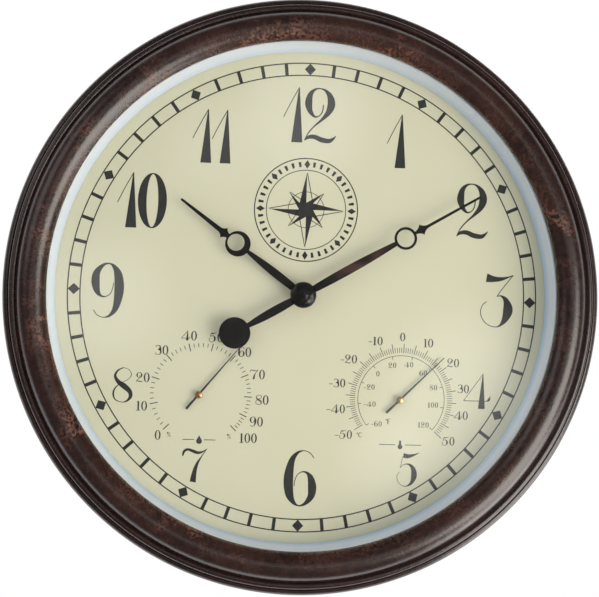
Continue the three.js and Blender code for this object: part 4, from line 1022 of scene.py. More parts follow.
brass_bright = metal("bright_brass", (0.58, 0.38, 0.15, 1), (0.84, 0.62, 0.3, 1), 0.24)
fit(threaded_bush, brass_bright, "case", "brass", "mounting_bush")
fit(thin_washer, brass_bright, "case", "brass", "front_washer")
fit(hex_nut, brass_bright, "case", "brass", "mounting_nut")
fit(rubber_washer, rubber_black, "case", "rubber", "mounting_washer")

# Hour hand: pressed from sheet, a slim leaf that swells in the middle, an open ring, a small lozenge
# and a fine spear, all lacquered black. Sizes run along the hand from its axis, in millimetres.
HAND_STEPS = 14
HAND_HUB = 5.2
HAND_EDGE = 0.16
HAND_OVERLAP = 0.3
SPEAR_END = 0.6
SPEAR_TIP = 0.5
LOZENGE_CURVE = 1.4
HOUR_ANGLE = 306.6
MINUTE_ANGLE = 59.4
HOUR_BORE_GAP = 0.08
# Painted reflection on the minute hand: its distance out along the hand, and its near and far reach
PAINTED_REFLECTION_AT = 34
PAINTED_REFLECTION_NEAR = 5
PAINTED_REFLECTION_FAR = 19
HOUR_HAND = {
    "length": 80.4,
    "ring_at": 42.9,
    "ring_radius": 6.6,
    "hole_radius": 4.4,
    "hole_at": 44.1,
    "lozenge_at": 52.1,
    "lozenge_half_width": 3.3,
    "lozenge_half_length": 2.4,
    "spear_half_width": 1.3,
    "leaf": (1.45, 2.1, 0.9),
}


def leaf(end, widths):
    """The outline of a leaf along a hand, from its half-widths at the root, the middle and the end."""
    root, middle, tip = widths
    bulge = 2 * middle - (root + tip) / 2
    shares = [step / HAND_STEPS for step in range(HAND_STEPS + 1)]
    side = [(root * (1 - t) ** 2 + 2 * bulge * t * (1 - t) + tip * t**2, end * t) for t in shares]
    return side + [(-half, along) for half, along in reversed(side)]


def hollow_lozenge(middle, half_wide, half_long, neck):
    """A lozenge along a hand, whose four sides curve inwards."""
    shares = [step / HAND_STEPS for step in range(HAND_STEPS + 1)]
    side = [
        (neck + (half_wide - neck) * t**LOZENGE_CURVE, half_long * (1 - t) ** LOZENGE_CURVE) for t in shares
    ]
    right = [(reach, middle - along) for reach, along in side]
    right += [(reach, middle + along) for reach, along in reversed(side[:-1])]
    return right + [(-reach, along) for reach, along in reversed(right)]


def hand_blade(family, hand, angle, bore):
    """A pressed hand: solids that are joined, holed and softened at their edges."""
    rear, front = levels(f"{family}_hand")
    neck, length, start = hand["spear_half_width"], hand["length"], hand["lozenge_at"]
    ring_end = hand["ring_at"] + hand["ring_radius"]
    ring_start = hand["ring_at"] - hand["ring_radius"]
    tip = length - SPEAR_TIP
    outlines = [
        leaf(ring_start + HAND_OVERLAP, hand["leaf"]),
        ring_of(hand["ring_radius"], 72, (0, hand["ring_at"])),
        oblong(-neck, neck, ring_end - HAND_OVERLAP, start),
        hollow_lozenge(start, hand["lozenge_half_width"], hand["lozenge_half_length"], neck),
        [(neck, start), (SPEAR_END, tip), (0, length), (-SPEAR_END, tip), (-neck, start)],
        *hand.get("tail", []),
    ]
    blade = plate(f"{family}_hand_leaf", ring_of(HAND_HUB, 72), rear, front, angle)
    combined(blade, [plate("blade_part", points, rear, front, angle) for points in outlines], "UNION")
    holes = [ring_of(hand["hole_radius"], 72, (0, hand["hole_at"])), ring_of(bore, 48)]
    combined(blade, [cutter(hole, rear, front, angle) for hole in holes], "DIFFERENCE")
    return softened(blade, HAND_EDGE, degrees=40)


hour_hand = hand_blade("hour", HOUR_HAND, HOUR_ANGLE, bush_bore - HOUR_BORE_GAP)
lacquer = finish("black_hand_lacquer")
lacquer_flow = lacquer.noise(9, 3)
blackened = lacquer.blend(lacquer_flow, (0.004, 0.0036, 0.003, 1), (0.01, 0.0085, 0.007, 1))
# Painted reflection: a reddish-brown patch on the minute hand's leaf stands in for the rim mirrored in the
# lacquer
painted_reflection_spot = spot(*toward((0, 0), PAINTED_REFLECTION_AT, MINUTE_ANGLE), levels("minute_hand")[1])
painted_reflection = lacquer.closeness(lacquer.place(), painted_reflection_spot, PAINTED_REFLECTION_NEAR * MM, PAINTED_REFLECTION_FAR * MM)
hand_black = surface(
    lacquer,
    base_color=lacquer.blend(painted_reflection * lacquer_flow.between(0.3, 0.6), blackened, (0.075, 0.03, 0.022, 1)),
    roughness=0.3 + 0.16 * lacquer_flow + 0.06 * lacquer.noise(0.7, 2),
    specular_ior_level=0.35,
    normal=lacquer.bump(lacquer_flow, 0.03),
)
fit(hour_hand, hand_black, "hour_group", "hand_lacquer", "hour_hand")

# Minute hand: the same pattern, longer and finer, with a tail that ends in a round counterweight.
TAIL_DISC_AT = 40.4
TAIL_DISC_RADIUS = 8.1
TAIL_LEAF = (1.2, 2.25, 1.25)
MINUTE_BORE = 1.8
tail_leaf = leaf(TAIL_DISC_AT - TAIL_DISC_RADIUS + HAND_OVERLAP, TAIL_LEAF)
MINUTE_HAND = {
    "length": 106.7,
    "ring_at": 61.0,
    "ring_radius": 5.9,
    "hole_radius": 4.6,
    "hole_at": 61.0,
    "lozenge_at": 70.7,
    "lozenge_half_width": 3.05,
    "lozenge_half_length": 3.4,
    "spear_half_width": 0.8,
    "leaf": (1.45, 2.3, 1.15),
    "tail": [
        [(half, -along) for half, along in tail_leaf],
        ring_of(TAIL_DISC_RADIUS, 96, (0, -TAIL_DISC_AT)),
    ],
}
minute_hand = hand_blade("minute", MINUTE_HAND, MINUTE_ANGLE, MINUTE_BORE)
fit(minute_hand, hand_black, "minute_group", "hand_lacquer", "minute_hand")

# Hub: a moulded dome on the minute shaft with a small cap nut on top, both in gloss black.
HUB_STEPS = 96


def domed(name, node, side, edge, about=(0.0, 0.0), steps=HUB_STEPS, bend_steps=10):
    """A turned cap with a straight side, for a share of its height, and an oval dome on top."""
    low, top = levels(node)
    rise = top - low
    radius = half_width(node)
    dome = arc((0, low + side * rise), radius, 0, 90, bend_steps, (1 - side) * rise)
    cap = turned(name, [(0, low), (radius, low), *dome], about, steps)
    return softened(cap, edge, degrees=50)


cap_rear, cap_front = levels("hub_cap")
cap_reach = half_width("hub_cap") - MINUTE_BORE
dome_bend = arc((MINUTE_BORE, cap_rear), cap_reach, 0, 90, 15, cap_front - cap_rear)
hub_dome = turned("hub_dome", [(MINUTE_BORE, cap_rear), *dome_bend], steps=HUB_STEPS)
softened(hub_dome, 0.15, degrees=50)
cap_nut = domed("cap_nut", "hand_nut", side=0.35, edge=0.12)
hub_black = even_finish(
    "gloss_black_moulding", (0.006, 0.006, 0.006, 1), (0.012, 0.011, 0.0105, 1), clouds=(4, 2),
    roughness=0.14, spread=0.12, depth=0.02,
)
fit(hub_dome, hub_black, "minute_group", "hub_lacquer", "hub_cap")
fit(cap_nut, hub_black, "minute_group", "hub_lacquer", "hand_nut")

# Pointers: fine tapered needles in dark grey, each pressed on a spindle under a small domed boss. The
# thermometer's boss is yellow brass and the hygrometer's a redder one.
POINTER_TIP = 31.9
POINTER_TAIL = 9.8
POINTER_TAIL_HALF = 0.65
POINTER_TIP_HALF = 0.2
POINTER_HUB = 1.7
POINTER_BORE = 1.0
ROD_CHAMFER = 0.15
NEEDLE = (
    (-POINTER_TAIL_HALF, -POINTER_TAIL),
    (POINTER_TAIL_HALF, -POINTER_TAIL),
    (POINTER_TIP_HALF, POINTER_TIP),
    (-POINTER_TIP_HALF, POINTER_TIP),
)
pointer_grey = even_finish(
    "dark_grey_paint", (0.028, 0.028, 0.027, 1), (0.055, 0.053, 0.05, 1), clouds=(3, 4),
    roughness=0.4, spread=0.15,
)
copper_boss = metal("reddish_brass", (0.62, 0.34, 0.16, 1), (0.86, 0.52, 0.27, 1), 0.24)
for instrument, axis, angle, boss_metal in (
    ("thermometer", thermometer_axis, 45.4, brass_bright),
    ("hygrometer", hygrometer_axis, 39.5, copper_boss),
):
    group = f"{instrument}_group"
    rear, front = levels(f"{instrument}_pointer")
    needle = plate(f"{instrument}_needle", NEEDLE, rear, front, angle, axis)
    combined(needle, [plate("needle_hub", ring_of(POINTER_HUB, 48), rear, front, about=axis)], "UNION")
    combined(needle, [cutter(ring_of(POINTER_BORE, 32), rear, front, about=axis)], "DIFFERENCE")
    softened(needle, 0.07, degrees=40)
    fit(needle, pointer_grey, group, "pointer_paint", f"{instrument}_pointer")
    boss_name = f"{instrument}_boss_dome"
    boss = domed(boss_name, f"{instrument}_boss", side=0.4, edge=0.08, about=axis, steps=64, bend_steps=9)
    fit(boss, boss_metal, group, "brass", f"{instrument}_boss")
    rear, front = levels(f"{instrument}_spindle")
    rod = turned(f"{instrument}_rod", [
        (0, rear),
        (spindle_radius - ROD_CHAMFER, rear),
        (spindle_radius, rear + 2 * ROD_CHAMFER),
        (spindle_radius, front - 0.2),
        (spindle_radius - 0.2, front),
        (0, front),
    ], axis, 32)
    smooth(rod)
    fit(rod, brass_bright, group, "brass", f"{instrument}_spindle")

# Cups and coils: behind the dial, each instrument has a white moulded cup with a coil of bimetal strip
# that turns its spindle.
CUP_WALL = 0.9
CUP_STEPS = 96
STRIP_TURNS = 3
STRIP_THICKNESS = 0.5
STRIP_START = 1.3
STRIP_END = 12.6
STRIP_STEPS = 60


def strip_face(offset):
    """One face of the strip, as a spiral that widens from the spindle to the cup."""
    count = STRIP_TURNS * STRIP_STEPS
    reaches = [STRIP_START + (STRIP_END - STRIP_START) * step / count + offset for step in range(count + 1)]
    angles = [2 * math.pi * step / STRIP_STEPS for step in range(count + 1)]
    return [(reach * math.cos(angle), reach * math.sin(angle)) for reach, angle in zip(reaches, angles)]


strip_outline = strip_face(0) + strip_face(STRIP_THICKNESS)[::-1]
strip_copper = metal("bimetal_copper", (0.32, 0.12, 0.06, 1), (0.55, 0.25, 0.14, 1), 0.25)
for instrument, axis in (("thermometer", thermometer_axis), ("hygrometer", hygrometer_axis)):
    cup_rear, cup_front = levels(f"{instrument}_cup")
    cup_radius = half_width(f"{instrument}_cup")
    cup = turned(f"{instrument}_cup_moulding", [
        (0, cup_rear),
        (cup_radius, cup_rear),
        (cup_radius, cup_front),
        (cup_radius - CUP_WALL, cup_front),
        (cup_radius - CUP_WALL, cup_rear + CUP_WALL),
        (0, cup_rear + CUP_WALL),
    ], axis, CUP_STEPS)
    softened(cup, 0.25)
    fit(cup, plastic_white, "case", "white_plastic", f"{instrument}_cup")
    coil = plate(f"{instrument}_strip", strip_outline, *levels(f"{instrument}_coil"), about=axis)
    softened(coil, 0.08, segments=1, degrees=60)
    fit(coil, strip_copper, "case", "copper", f"{instrument}_coil")

# Back cover: a moulded dish of black plastic. It stands on the wall on a foot ring, carries a rib that
# backs the dial, and has a window for the movement, a pocket for the wall screw's head and vents.
FOOT_WIDTH = 6.5
FOOT_SLOPE = 3.0
FIELD_RECESS = 3.2
FIELD_THICKNESS = 2.2
COVER_RIB = 2.3
COVER_EDGE = 126.5
COVER_CHAMFER = 0.9
FLANGE_THICKNESS = 2.5
FLANGE_CHAMFER = 0.6
RELIEF = (FIELD_RECESS - 0.8, FIELD_RECESS + 0.3)
STIFFENER_HALF = 0.7
STIFFENER_ENDS = (44, 117.5)
STIFFENER_TURNS = (45, 90, 157.5, 180, 202.5, 270, 315)
HOOP_RADII = (44.0, 88.0)
HOOP_HALF = 0.6
FRAME_MARGIN = 3.4
WINDOW_MARGIN = 1.3
# Half width, half height and corner radius
POCKET_FRAME = (26.0, 16.0, 4.0)
POCKET = (9.0, 11.0, 2.0)
PLATE_SEAT = (23.4, 13.4, 2.3)
VENT = (8.0, 1.2, 1.15)
VENT_SPACING = 6.0
SCREW_HOLE = 1.5
BOSS_RADIUS = 3.2
BOSS_HEIGHT = 6.0
SCREW_TURNS = range(30, 390, 60)
cover_front = levels("back_cover")[1]
flange_low = levels("case_seal")[0] - DIAL_HOLE_CLEARANCE - FLANGE_THICKNESS
flange_high = flange_low + FLANGE_THICKNESS
flange_edge = half_width("back_cover")
field_front = FIELD_RECESS + FIELD_THICKNESS
foot_inner = COVER_EDGE - FOOT_WIDTH
movement_half = half_width("movement_rear_case")
screw_circle = math.hypot(*centre_of("back_screw_1"))
hanger_place = (0, centre_of("hanger_plate")[1])
hanger_screws = [centre_of(f"hanger_screw_{number}") for number in (1, 2)]


def rounded(half_wide, half_high, corner, steps=8):
    """The outline of a rectangle with round corners."""
    outline = []
    for start, (side, end) in zip(range(0, 360, 90), ((1, 1), (-1, 1), (-1, -1), (1, -1))):
        centre = (side * (half_wide - corner), end * (half_high - corner))
        outline += arc(centre, corner, start, start + 90, steps)
    return outline


def opening(outline, top, about=(0.0, 0.0)):
    """A tool that cuts into the cover from the rear, up to a height above the wall."""
    return plate("opening", outline, -1, top, about=about)


cover = turned("cover_moulding", [
    (0, FIELD_RECESS),
    (foot_inner - FOOT_SLOPE - 1.2, FIELD_RECESS),
    (foot_inner - FOOT_SLOPE, FIELD_RECESS - 0.4),
    (foot_inner - 0.5, 0.35),
    (foot_inner + 0.4, 0),
    (COVER_EDGE - COVER_CHAMFER, 0),
    (COVER_EDGE, COVER_CHAMFER),
    (COVER_EDGE, flange_low),
    (flange_edge - FLANGE_CHAMFER, flange_low),
    (flange_edge, flange_low + FLANGE_CHAMFER),
    (flange_edge, flange_high),
    (COVER_EDGE, flange_high),
    (COVER_EDGE, cover_front),
    (COVER_EDGE - COVER_RIB, cover_front),
    (COVER_EDGE - COVER_RIB, field_front),
    (0, field_front),
])
stiffener = oblong(-STIFFENER_HALF, STIFFENER_HALF, *STIFFENER_ENDS)
window_frame = rounded(movement_half + FRAME_MARGIN, movement_half + FRAME_MARGIN, 5.0)
combined(cover, [
    *[plate("stiffener", stiffener, *RELIEF, turn) for turn in STIFFENER_TURNS],
    *[band("hoop", radius - HOOP_HALF, radius + HOOP_HALF, *RELIEF) for radius in HOOP_RADII],
    *[
        plate("boss", ring_of(BOSS_RADIUS, 48), field_front - 1, field_front + BOSS_HEIGHT, about=place)
        for place in hanger_screws
    ],
    plate("window_frame", window_frame, RELIEF[0], field_front - 0.4),
    plate("pocket_frame", rounded(*POCKET_FRAME), FIELD_RECESS - 0.01, field_front - 0.4, about=hanger_place),
], "UNION")
window_half = movement_half + WINDOW_MARGIN
screw_hole = ring_of(SCREW_HOLE, 32)
combined(cover, [
    opening(rounded(window_half, window_half, 3.6), field_front + 0.5),
    opening(rounded(*POCKET), field_front + 0.5, hanger_place),
    opening(rounded(*PLATE_SEAT), FIELD_RECESS - 0.02, hanger_place),
    *[opening(screw_hole, flange_high + 1, toward((0, 0), screw_circle, turn)) for turn in SCREW_TURNS],
    *[opening(screw_hole, field_front + BOSS_HEIGHT - 1, place) for place in hanger_screws],
    *[
        opening(rounded(*VENT), field_front + 0.5, moved(axis, (0, row * VENT_SPACING)))
        for axis in (thermometer_axis, hygrometer_axis)
        for row in (-1, 0, 1)
    ],
], "DIFFERENCE")
softened(cover, 0.22, degrees=40)
moulding = finish("grained_black_plastic")
spark = moulding.noise(0.45, 2)
dust = moulding.noise(18, 5).between(0.45, 0.8)
plastic_black = surface(
    moulding,
    base_color=moulding.blend(dust * 0.5, (0.011, 0.011, 0.0125, 1), (0.034, 0.033, 0.032, 1)),
    roughness=0.42 + 0.18 * spark + 0.1 * dust,
    specular_ior_level=0.4,
    normal=moulding.bump(spark, 0.05),
)
fit(cover, plastic_black, "case", "black_plastic", "back_cover")

# Hanger: a zinc plated steel plate screwed over the pocket. The wall screw's head enters the round end
# of its keyhole and the shank slides up into the slot.
KEYHOLE_ENTRY = 4.8
KEYHOLE_SLOT = 2.4
ENTRY_DROP = 8.0
PLATE_CORNER = 2.2
plate_rear, plate_front = levels("hanger_plate")
plate_low, plate_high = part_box("hanger_plate")
plate_outline = rounded(half_width("hanger_plate"), (plate_high.z - plate_low.z) / 2 / MM, PLATE_CORNER)
hanger = plate("keyhole_plate", plate_outline, plate_rear, plate_front, about=hanger_place)
seat_height = -axis_height / MM
entry_height = seat_height - ENTRY_DROP
slot_end = seat_height - KEYHOLE_SLOT
combined(hanger, [
    cutter(outline, plate_rear, plate_front, about=place)
    for outline, place in (
        (ring_of(KEYHOLE_ENTRY, 64), (0, entry_height)),
        (ring_of(KEYHOLE_SLOT, 48), (0, slot_end)),
        (oblong(-KEYHOLE_SLOT, KEYHOLE_SLOT, entry_height, slot_end), (0, 0)),
        (screw_hole, hanger_screws[0]),
        (screw_hole, hanger_screws[1]),
    )
], "DIFFERENCE")
softened(hanger, 0.14, degrees=40)
zinc = metal("zinc_plated_steel", (0.36, 0.37, 0.38, 1), (0.6, 0.61, 0.62, 1), 0.27, 3.0)
fit(hanger, zinc, "case", "zinc_steel", "hanger_plate")

# Screws: pan heads with a cross recess, driven from the rear into moulded bosses. Six hold the back
# cover to the rim, and two shorter ones hold the hanger.
SCREW_SHANK = 1.2
SCREW_CORE = 0.9
SCREW_PITCH = 0.9
SCREW_POINT = 1.4
SCREW_RUN_OUT = 2.5
HEAD_HEIGHT = 1.3
HEAD_DOME = 0.75
CROSS_HALF = 0.32
CROSS_REACH = 1.65
CROSS_DEPTH = 0.75


def pan_screw(node):
    """A screw at the hand axis, whose head faces the wall."""
    head_rear, point = levels(node)
    head_radius = half_width(node)
    seat = head_rear + HEAD_HEIGHT
    turns = int((point - seat - SCREW_RUN_OUT) / SCREW_PITCH)
    dome = [
        (head_radius * math.sin(a) ** 0.8, head_rear + HEAD_DOME * (1 - math.cos(a)))
        for a in (math.radians(9 * step) for step in range(11))
    ]
    screw = turned("pan_screw", [
        *dome,
        (head_radius, seat),
        (SCREW_SHANK, seat),
        *thread(SCREW_CORE, SCREW_SHANK, seat + 1.0, SCREW_PITCH, turns),
        (SCREW_CORE, point - SCREW_POINT),
        (0, point),
    ], steps=TUBE_STEPS)
    arm = [(-CROSS_HALF, CROSS_HALF), (-CROSS_HALF, CROSS_REACH), (CROSS_HALF, CROSS_REACH)]
    cross = []
    for _ in range(4):
        cross += arm
        arm = [(y, -x) for x, y in arm]
    combined(screw, [plate("cross", cross, head_rear - 1, head_rear + CROSS_DEPTH)], "DIFFERENCE")
    smooth(screw, 40)
    return screw


for family, count in (("back_screw", 6), ("hanger_screw", 2)):
    model = pan_screw(f"{family}_1")
    for number in range(1, count + 1):
        node = f"{family}_{number}"
        driven = copied(model, 37 * number, centre_of(node))
        driven.name = f"{node}_driven"
        fit(driven, zinc, "case", "zinc_steel", node)
    bpy.data.objects.remove(model)

# Movement: a square black case in two halves. The rear one is open over the battery bay, and has the
# setting knob's hole, grip lines and moulded signs for the cell's poles.
MOVEMENT_CORNER = 3.0
MOVEMENT_WALL = 1.2
BAY_GAP = 0.5
# Half width, half height, corner radius and steps of a grip line, and the four sides of a sign's bar
GRIP = (9.0, 0.35, 0.3, 3)
POLE_SIGN = (-1.5, 1.5, -0.35, 0.35)
RECESS_DEPTH = 0.4
GRIP_PLACE = (-14.0, 15.0)
GRIP_PITCH = 1.6
POLE_SIGN_SIDE = 22.0
POLE_SIGN_RISE = 3.2
KNOB_HOLE = 1.3
case_rear = levels("movement_rear_case")[0]
inner_rear = case_rear + MOVEMENT_WALL
shell_rear, case_front = levels("movement_front_case")
inner_front = case_front - MOVEMENT_WALL
battery_low, battery_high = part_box("battery_cell")
battery_radius = (battery_high.z - battery_low.z) / 2 / MM
battery_middle = centre_of("battery_cell")
bay_half = battery_radius + BAY_GAP
wall_low = battery_middle[1] + bay_half
knob_axis = centre_of("setting_knob")
inner_half = movement_half - MOVEMENT_WALL
outline = rounded(movement_half, movement_half, MOVEMENT_CORNER)
rear_half = plate("movement_rear_half", outline, case_rear, inner_rear)
recess_floor = case_rear + RECESS_DEPTH
cuts = [
    cutter(rounded(inner_half, bay_half, 1.0), case_rear, inner_rear, about=(0, battery_middle[1])),
    cutter(ring_of(KNOB_HOLE, 32), case_rear, inner_rear, about=knob_axis),
]
for row in range(5):
    grip_place = moved(GRIP_PLACE, (0, GRIP_PITCH * row))
    cuts.append(plate("grip", rounded(*GRIP), case_rear - 1, recess_floor, about=grip_place))
for side, turn in ((1, 0), (1, 90), (-1, 0)):
    sign_place = (side * POLE_SIGN_SIDE, wall_low + POLE_SIGN_RISE)
    cuts.append(plate("sign_bar", oblong(*POLE_SIGN), case_rear - 1, recess_floor, turn, sign_place))
for cut in cuts:
    combined(rear_half, [cut], "DIFFERENCE")
softened(rear_half, 0.14, degrees=40)
fit(rear_half, plastic_black, "case", "black_plastic", "movement_rear_case")
front_half = plate("movement_front_half", outline, shell_rear, case_front)
hollow = rounded(inner_half, inner_half, MOVEMENT_CORNER - MOVEMENT_WALL)
combined(front_half, [
    plate("hollow", hollow, shell_rear - 1, inner_front),
    cutter(ring_of(bush_radius + 0.3, 64), inner_front, case_front),
], "DIFFERENCE")
partition = oblong(-inner_half - 0.5, inner_half + 0.5, wall_low, wall_low + 1)
combined(front_half, [plate("partition", partition, shell_rear, case_front - 0.5)], "UNION")
softened(front_half, 0.2, degrees=40)
fit(front_half, plastic_black, "case", "black_plastic", "movement_front_case")

# Setting knob: a ribbed black disc on the rear, on a shaft whose pinion turns the motion work.
KNOB_RIBS = 24
KNOB_THICKNESS = 1.6
KNOB_RADIUS = 4.5
KNOB_DISH = 2.9
RIB_DEPTH = 0.35
RIB_STEPS = 6
SHAFT_RADIUS = 1.0
PINION_LEAF = ((1.35, -11), (2.1, -5), (2.1, 5), (1.35, 11))
PINION_THICKNESS = 1.2
knob_rear, shaft_front = levels("setting_knob")
knob_outline = []
for step in range(KNOB_RIBS * RIB_STEPS):
    ripple = RIB_DEPTH * (1 - math.cos(2 * math.pi * step / RIB_STEPS)) / 2
    knob_outline.append(toward((0, 0), KNOB_RADIUS - ripple, step * 360 / (KNOB_RIBS * RIB_STEPS)))
knob = plate("setting_knob_disc", knob_outline, knob_rear, knob_rear + KNOB_THICKNESS, about=knob_axis)
dish = plate("dish", ring_of(KNOB_DISH, 48), knob_rear - 1, knob_rear + 0.5, about=knob_axis)
combined(knob, [dish], "DIFFERENCE")
pinion_outline = [
    toward((0, 0), reach, start + turn) for start in range(0, 360, 45) for reach, turn in PINION_LEAF
]
combined(knob, [
    plate("shaft", ring_of(SHAFT_RADIUS, 32), knob_rear + 0.8, shaft_front - 0.2, about=knob_axis),
    plate("pinion", pinion_outline, shaft_front - PINION_THICKNESS, shaft_front, about=knob_axis),
], "UNION")
softened(knob, 0.08, degrees=45)
fit(knob, plastic_black, "knob_group", "black_plastic", "setting_knob")

# Battery: one AA cell, a steel can in a plain printed sleeve, with the positive nub on the right. It
# is turned upright and then laid along the bay.
NUB_RADIUS = 2.75
NUB_LENGTH = 1.2
CELL_STEPS = 96
BASE_DISH = 0.25
BASE_EDGE = 0.5
SHOULDER_EDGE = 0.7
SHOULDER_GROOVE = 0.3
STRIPE_WIDTH = 5.0
PRINT_EDGE = 0.1
cell_half = (battery_high.x - battery_low.x) / 2 / MM
shoulder = cell_half - NUB_LENGTH
cell = turned("aa_cell", [
    (0, -cell_half),
    (battery_radius - 1.6, -cell_half),
    (battery_radius - 1.2, -cell_half + BASE_DISH),
    (battery_radius - 0.7, -cell_half + BASE_DISH),
    *arc((battery_radius - BASE_EDGE, -cell_half + BASE_DISH + BASE_EDGE), BASE_EDGE, -90, 0, 6),
    *arc((battery_radius - SHOULDER_EDGE, shoulder - SHOULDER_EDGE), SHOULDER_EDGE, 0, 90, 6),
    (battery_radius - 1.3, shoulder),
    (battery_radius - 1.5, shoulder - SHOULDER_GROOVE),
    (NUB_RADIUS + 0.4, shoulder - SHOULDER_GROOVE),
    (NUB_RADIUS, shoulder),
    (NUB_RADIUS, cell_half - 0.3),
    (NUB_RADIUS - 0.3, cell_half),
    (0, cell_half),
], steps=CELL_STEPS)
smooth(cell, 40)
cell_out = -(battery_low.y + battery_high.y) / 2 / MM
laid = Matrix.Translation(spot(*battery_middle, cell_out)) @ Matrix.Rotation(math.radians(90), 4, "Z")
cell.data.transform(laid @ Matrix.Translation(spot(0, 0, 0)).inverted())
sleeve = finish("printed_battery_sleeve")
along_cell = sleeve.place().along("X")
sleeve_low = (battery_middle[0] - cell_half + 0.6) * MM
sleeve_high = (battery_middle[0] + shoulder - 1.2) * MM
print_edge = PRINT_EDGE * MM
stripe_low = sleeve_high - STRIPE_WIDTH * MM
bare_nub = along_cell.between(sleeve_high, sleeve_high + print_edge)
can = bare_nub + 1 - along_cell.between(sleeve_low - print_edge, sleeve_low)
stripe = along_cell.between(stripe_low, stripe_low + print_edge)
scuff = sleeve.noise(1.4, 5)
printed_colour = sleeve.blend(stripe, (0.055, 0.085, 0.11, 1), (0.62, 0.63, 0.61, 1))
sleeve_print = surface(
    sleeve,
    base_color=sleeve.blend(can, printed_colour, (0.5, 0.51, 0.52, 1)),
    metallic=0.35 + 0.65 * can,
    roughness=0.28 + 0.12 * scuff,
    normal=sleeve.bump(scuff, 0.01),
)
fit(cell, sleeve_print, "battery_group", "battery", "battery_cell")

# Works: the wheels, coil, circuit board and contacts inside the case keep their CAD shapes and get
# the finish of each part: milky nylon, enamelled wire, green board, magnet, steel and brass.
nylon_white = even_finish(
    "milky_nylon", (0.68, 0.67, 0.62, 1), (0.8, 0.79, 0.75, 1), clouds=(5, 3), roughness=0.32, spread=0.12
)
winding = finish("enamelled_wire")
wave = winding.node(
    "ShaderNodeTexWave",
    {"Vector": winding.place(), "Scale": 900.0, "Distortion": 0.6, "Detail": 1.0},
    output="Fac",
    bands_direction="X",
)
wire_copper = surface(
    winding,
    base_color=winding.blend(wave, (0.3, 0.09, 0.035, 1), (0.62, 0.24, 0.12, 1)),
    metallic=0.8,
    roughness=0.25 + 0.15 * wave,
    normal=winding.bump(wave, 0.05),
)
board_green = even_finish(
    "green_board", (0.02, 0.1, 0.04, 1), (0.035, 0.15, 0.06, 1), clouds=(3, 3),
    roughness=0.3, spread=0.15, grain=(0.5, 2), depth=0.01,
)
magnet_dark = even_finish(
    "sintered_magnet", (0.08, 0.08, 0.085, 1), (0.17, 0.17, 0.18, 1), clouds=(0.3, 4),
    roughness=0.35, spread=0.2, metallic=0.8,
)
WORKS = (
    (nylon_white, ("coil_bobbin", "intermediate_wheel", "seconds_wheel", "third_wheel", "minute_shaft")),
    (nylon_white, ("minute_wheel", "hour_wheel")),
    (wire_copper, ("coil_winding",)),
    (board_green, ("circuit_board",)),
    (magnet_dark, ("rotor",)),
    (brass_bright, ("centre_wheel",)),
    (zinc, ("quartz_crystal", "coil_core", "stator", "positive_contact", "negative_contact")),
)
for material, nodes in WORKS:
    for node in nodes:
        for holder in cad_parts[node].material_slots:
            holder.material = material

# Stage: a plain pale floor well under the clock and a white surround. A broad soft key lamp stands in
# front on the right, a low one grazes the clock from there, and weak ones stand on the left and behind.
# The camera stands where the photograph was taken from.
FLOOR_DROP = 1.1
FLOOR_GLOW = 0.66
WORLD_LIGHT = 0.62
ROOM_LIGHT = 0.06
SHADE_LIGHT = (0.93, 0.985, 1.06, 1)
# Name, right, out of the wall and above the hand axis in metres, size in metres, power in watts, colour
LAMPS = (
    ("key_light", 0.8, 0.86, -0.37, 1.0, 9.0, (1.0, 0.965, 0.89)),
    ("side_light", 0.9, 0.14, -0.75, 0.8, 4.5, (1.0, 0.98, 0.95)),
    ("fill_light", -0.85, 0.75, 0.4, 0.7, 0.8, (0.97, 0.98, 1.0)),
    ("rear_light", 0.5, -1.1, 0.7, 0.8, 4.0, (1.0, 1.0, 1.0)),
)
# Bright places of the room that the glass and the gloss pieces mirror: the direction as right and up,
# how near to it the glow is full, how far it fades out, and its strength
REFLECTIONS = (
    ((0.06, 0.185), 0.02, 0.07, 1.9),
    ((0.19, -0.03), 0.03, 0.09, 2.3),
    ((0.13, -0.075), 0.01, 0.05, 1.7),
    ((-0.09, 0.04), 0.02, 0.07, 1.9),
    ((-0.01, 0.16), 0.01, 0.05, 0.7),
)
PHOTO_PLACE = (-0.0429, -0.700, -0.1331)
PHOTO_TURN = (2.56, -3.57, 1.62)
PHOTO_LENS = 78.48


def seen_directly(shade):
    """1 for the rays that show the background itself, and 0 for those that light the clock."""
    seen = shade.ray("Camera")
    for kind in ("Glossy", "Transmission"):
        seen = shade.math("MAXIMUM", seen, shade.ray(kind))
    return seen


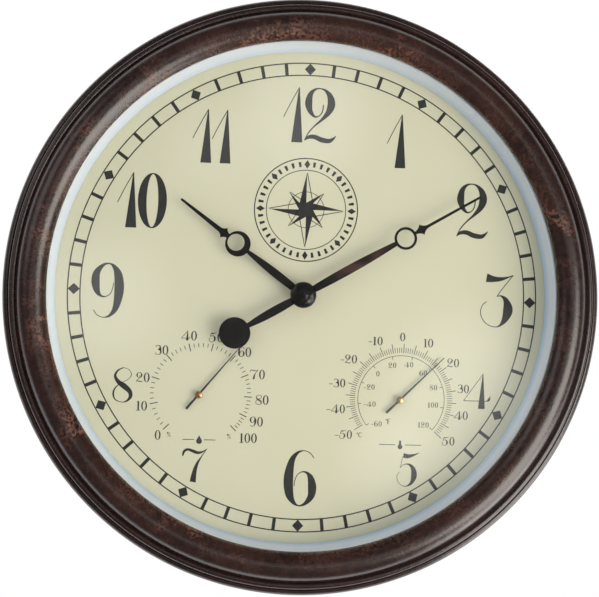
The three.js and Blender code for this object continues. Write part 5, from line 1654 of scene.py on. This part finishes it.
# The lamps are round and face the middle of the dial
for name, right, out, up, size, power, colour in LAMPS:
    light = bpy.data.lights.new(name, "AREA")
    light.shape = "DISK"
    light.size = size
    light.energy = power
    light.color = colour
    holder = bpy.data.objects.new(name, light)
    bpy.context.scene.collection.objects.link(holder)
    facing = Vector((right, -out, up)).to_track_quat("Z", "Y").to_matrix().to_4x4()
    holder.matrix_world = Matrix.Translation((right, -out, axis_height + up)) @ facing

bpy.ops.object.select_all(action="DESELECT")
bpy.ops.mesh.primitive_plane_add(size=8.0)
floor = bpy.context.object
floor.name = "floor"
floor.data.transform(Matrix.Translation((0, 0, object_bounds()[0][2] - FLOOR_DROP)))
pale = finish("pale_floor")
in_front = 1 - pale.place().along("Y").between(-0.06, 0.0)
darkened = in_front * pale.ray("Glossy") * (1 - ROOM_LIGHT)
surface(
    pale,
    base_color=pale.blend(darkened, (0.8, 0.8, 0.8, 1), (0, 0, 0, 1)),
    roughness=0.9,
    emission_color=(1, 1, 1, 1),
    emission_strength=seen_directly(pale) * (1 - darkened) * FLOOR_GLOW,
)
floor.data.materials.append(pale.material)

world = bpy.data.worlds.new("studio")
world.use_nodes = True
bpy.context.scene.world = world
surround = Shade(world)
background = world.node_tree.nodes["Background"]
ahead = surround.node("ShaderNodeTexCoord", output="Generated")
room = ROOM_LIGHT
for (x, z), near, far, strength in REFLECTIONS:
    bright_place = (x, -math.sqrt(1 - x * x - z * z), z)
    room = surround.closeness(ahead, bright_place, near, far) * strength + room
in_front = 1 - ahead.along("Y").between(-0.1, 0.35)
dimmed = 1 - in_front * surround.ray("Glossy") * (1 - room)
shown = seen_directly(surround)
surround.feed(background.inputs["Color"], surround.blend(shown, SHADE_LIGHT, (1, 1, 1, 1)))
surround.feed(background.inputs["Strength"], WORLD_LIGHT + shown * (dimmed - WORLD_LIGHT))

camera_data = bpy.data.cameras.new("camera")
camera_data.sensor_width = 36.0
camera_data.lens = PHOTO_LENS
camera = bpy.data.objects.new("camera", camera_data)
bpy.context.scene.collection.objects.link(camera)
tilt, pan, roll = [Matrix.Rotation(math.radians(turn), 4, axis) for turn, axis in zip(PHOTO_TURN, "XYZ")]
upright = Matrix.Rotation(math.radians(90), 4, "X")
camera.matrix_world = Matrix.Translation(PHOTO_PLACE) @ upright @ roll @ pan @ tilt
bpy.context.scene.camera = camera
bpy.context.scene.view_settings.view_transform = "Standard"
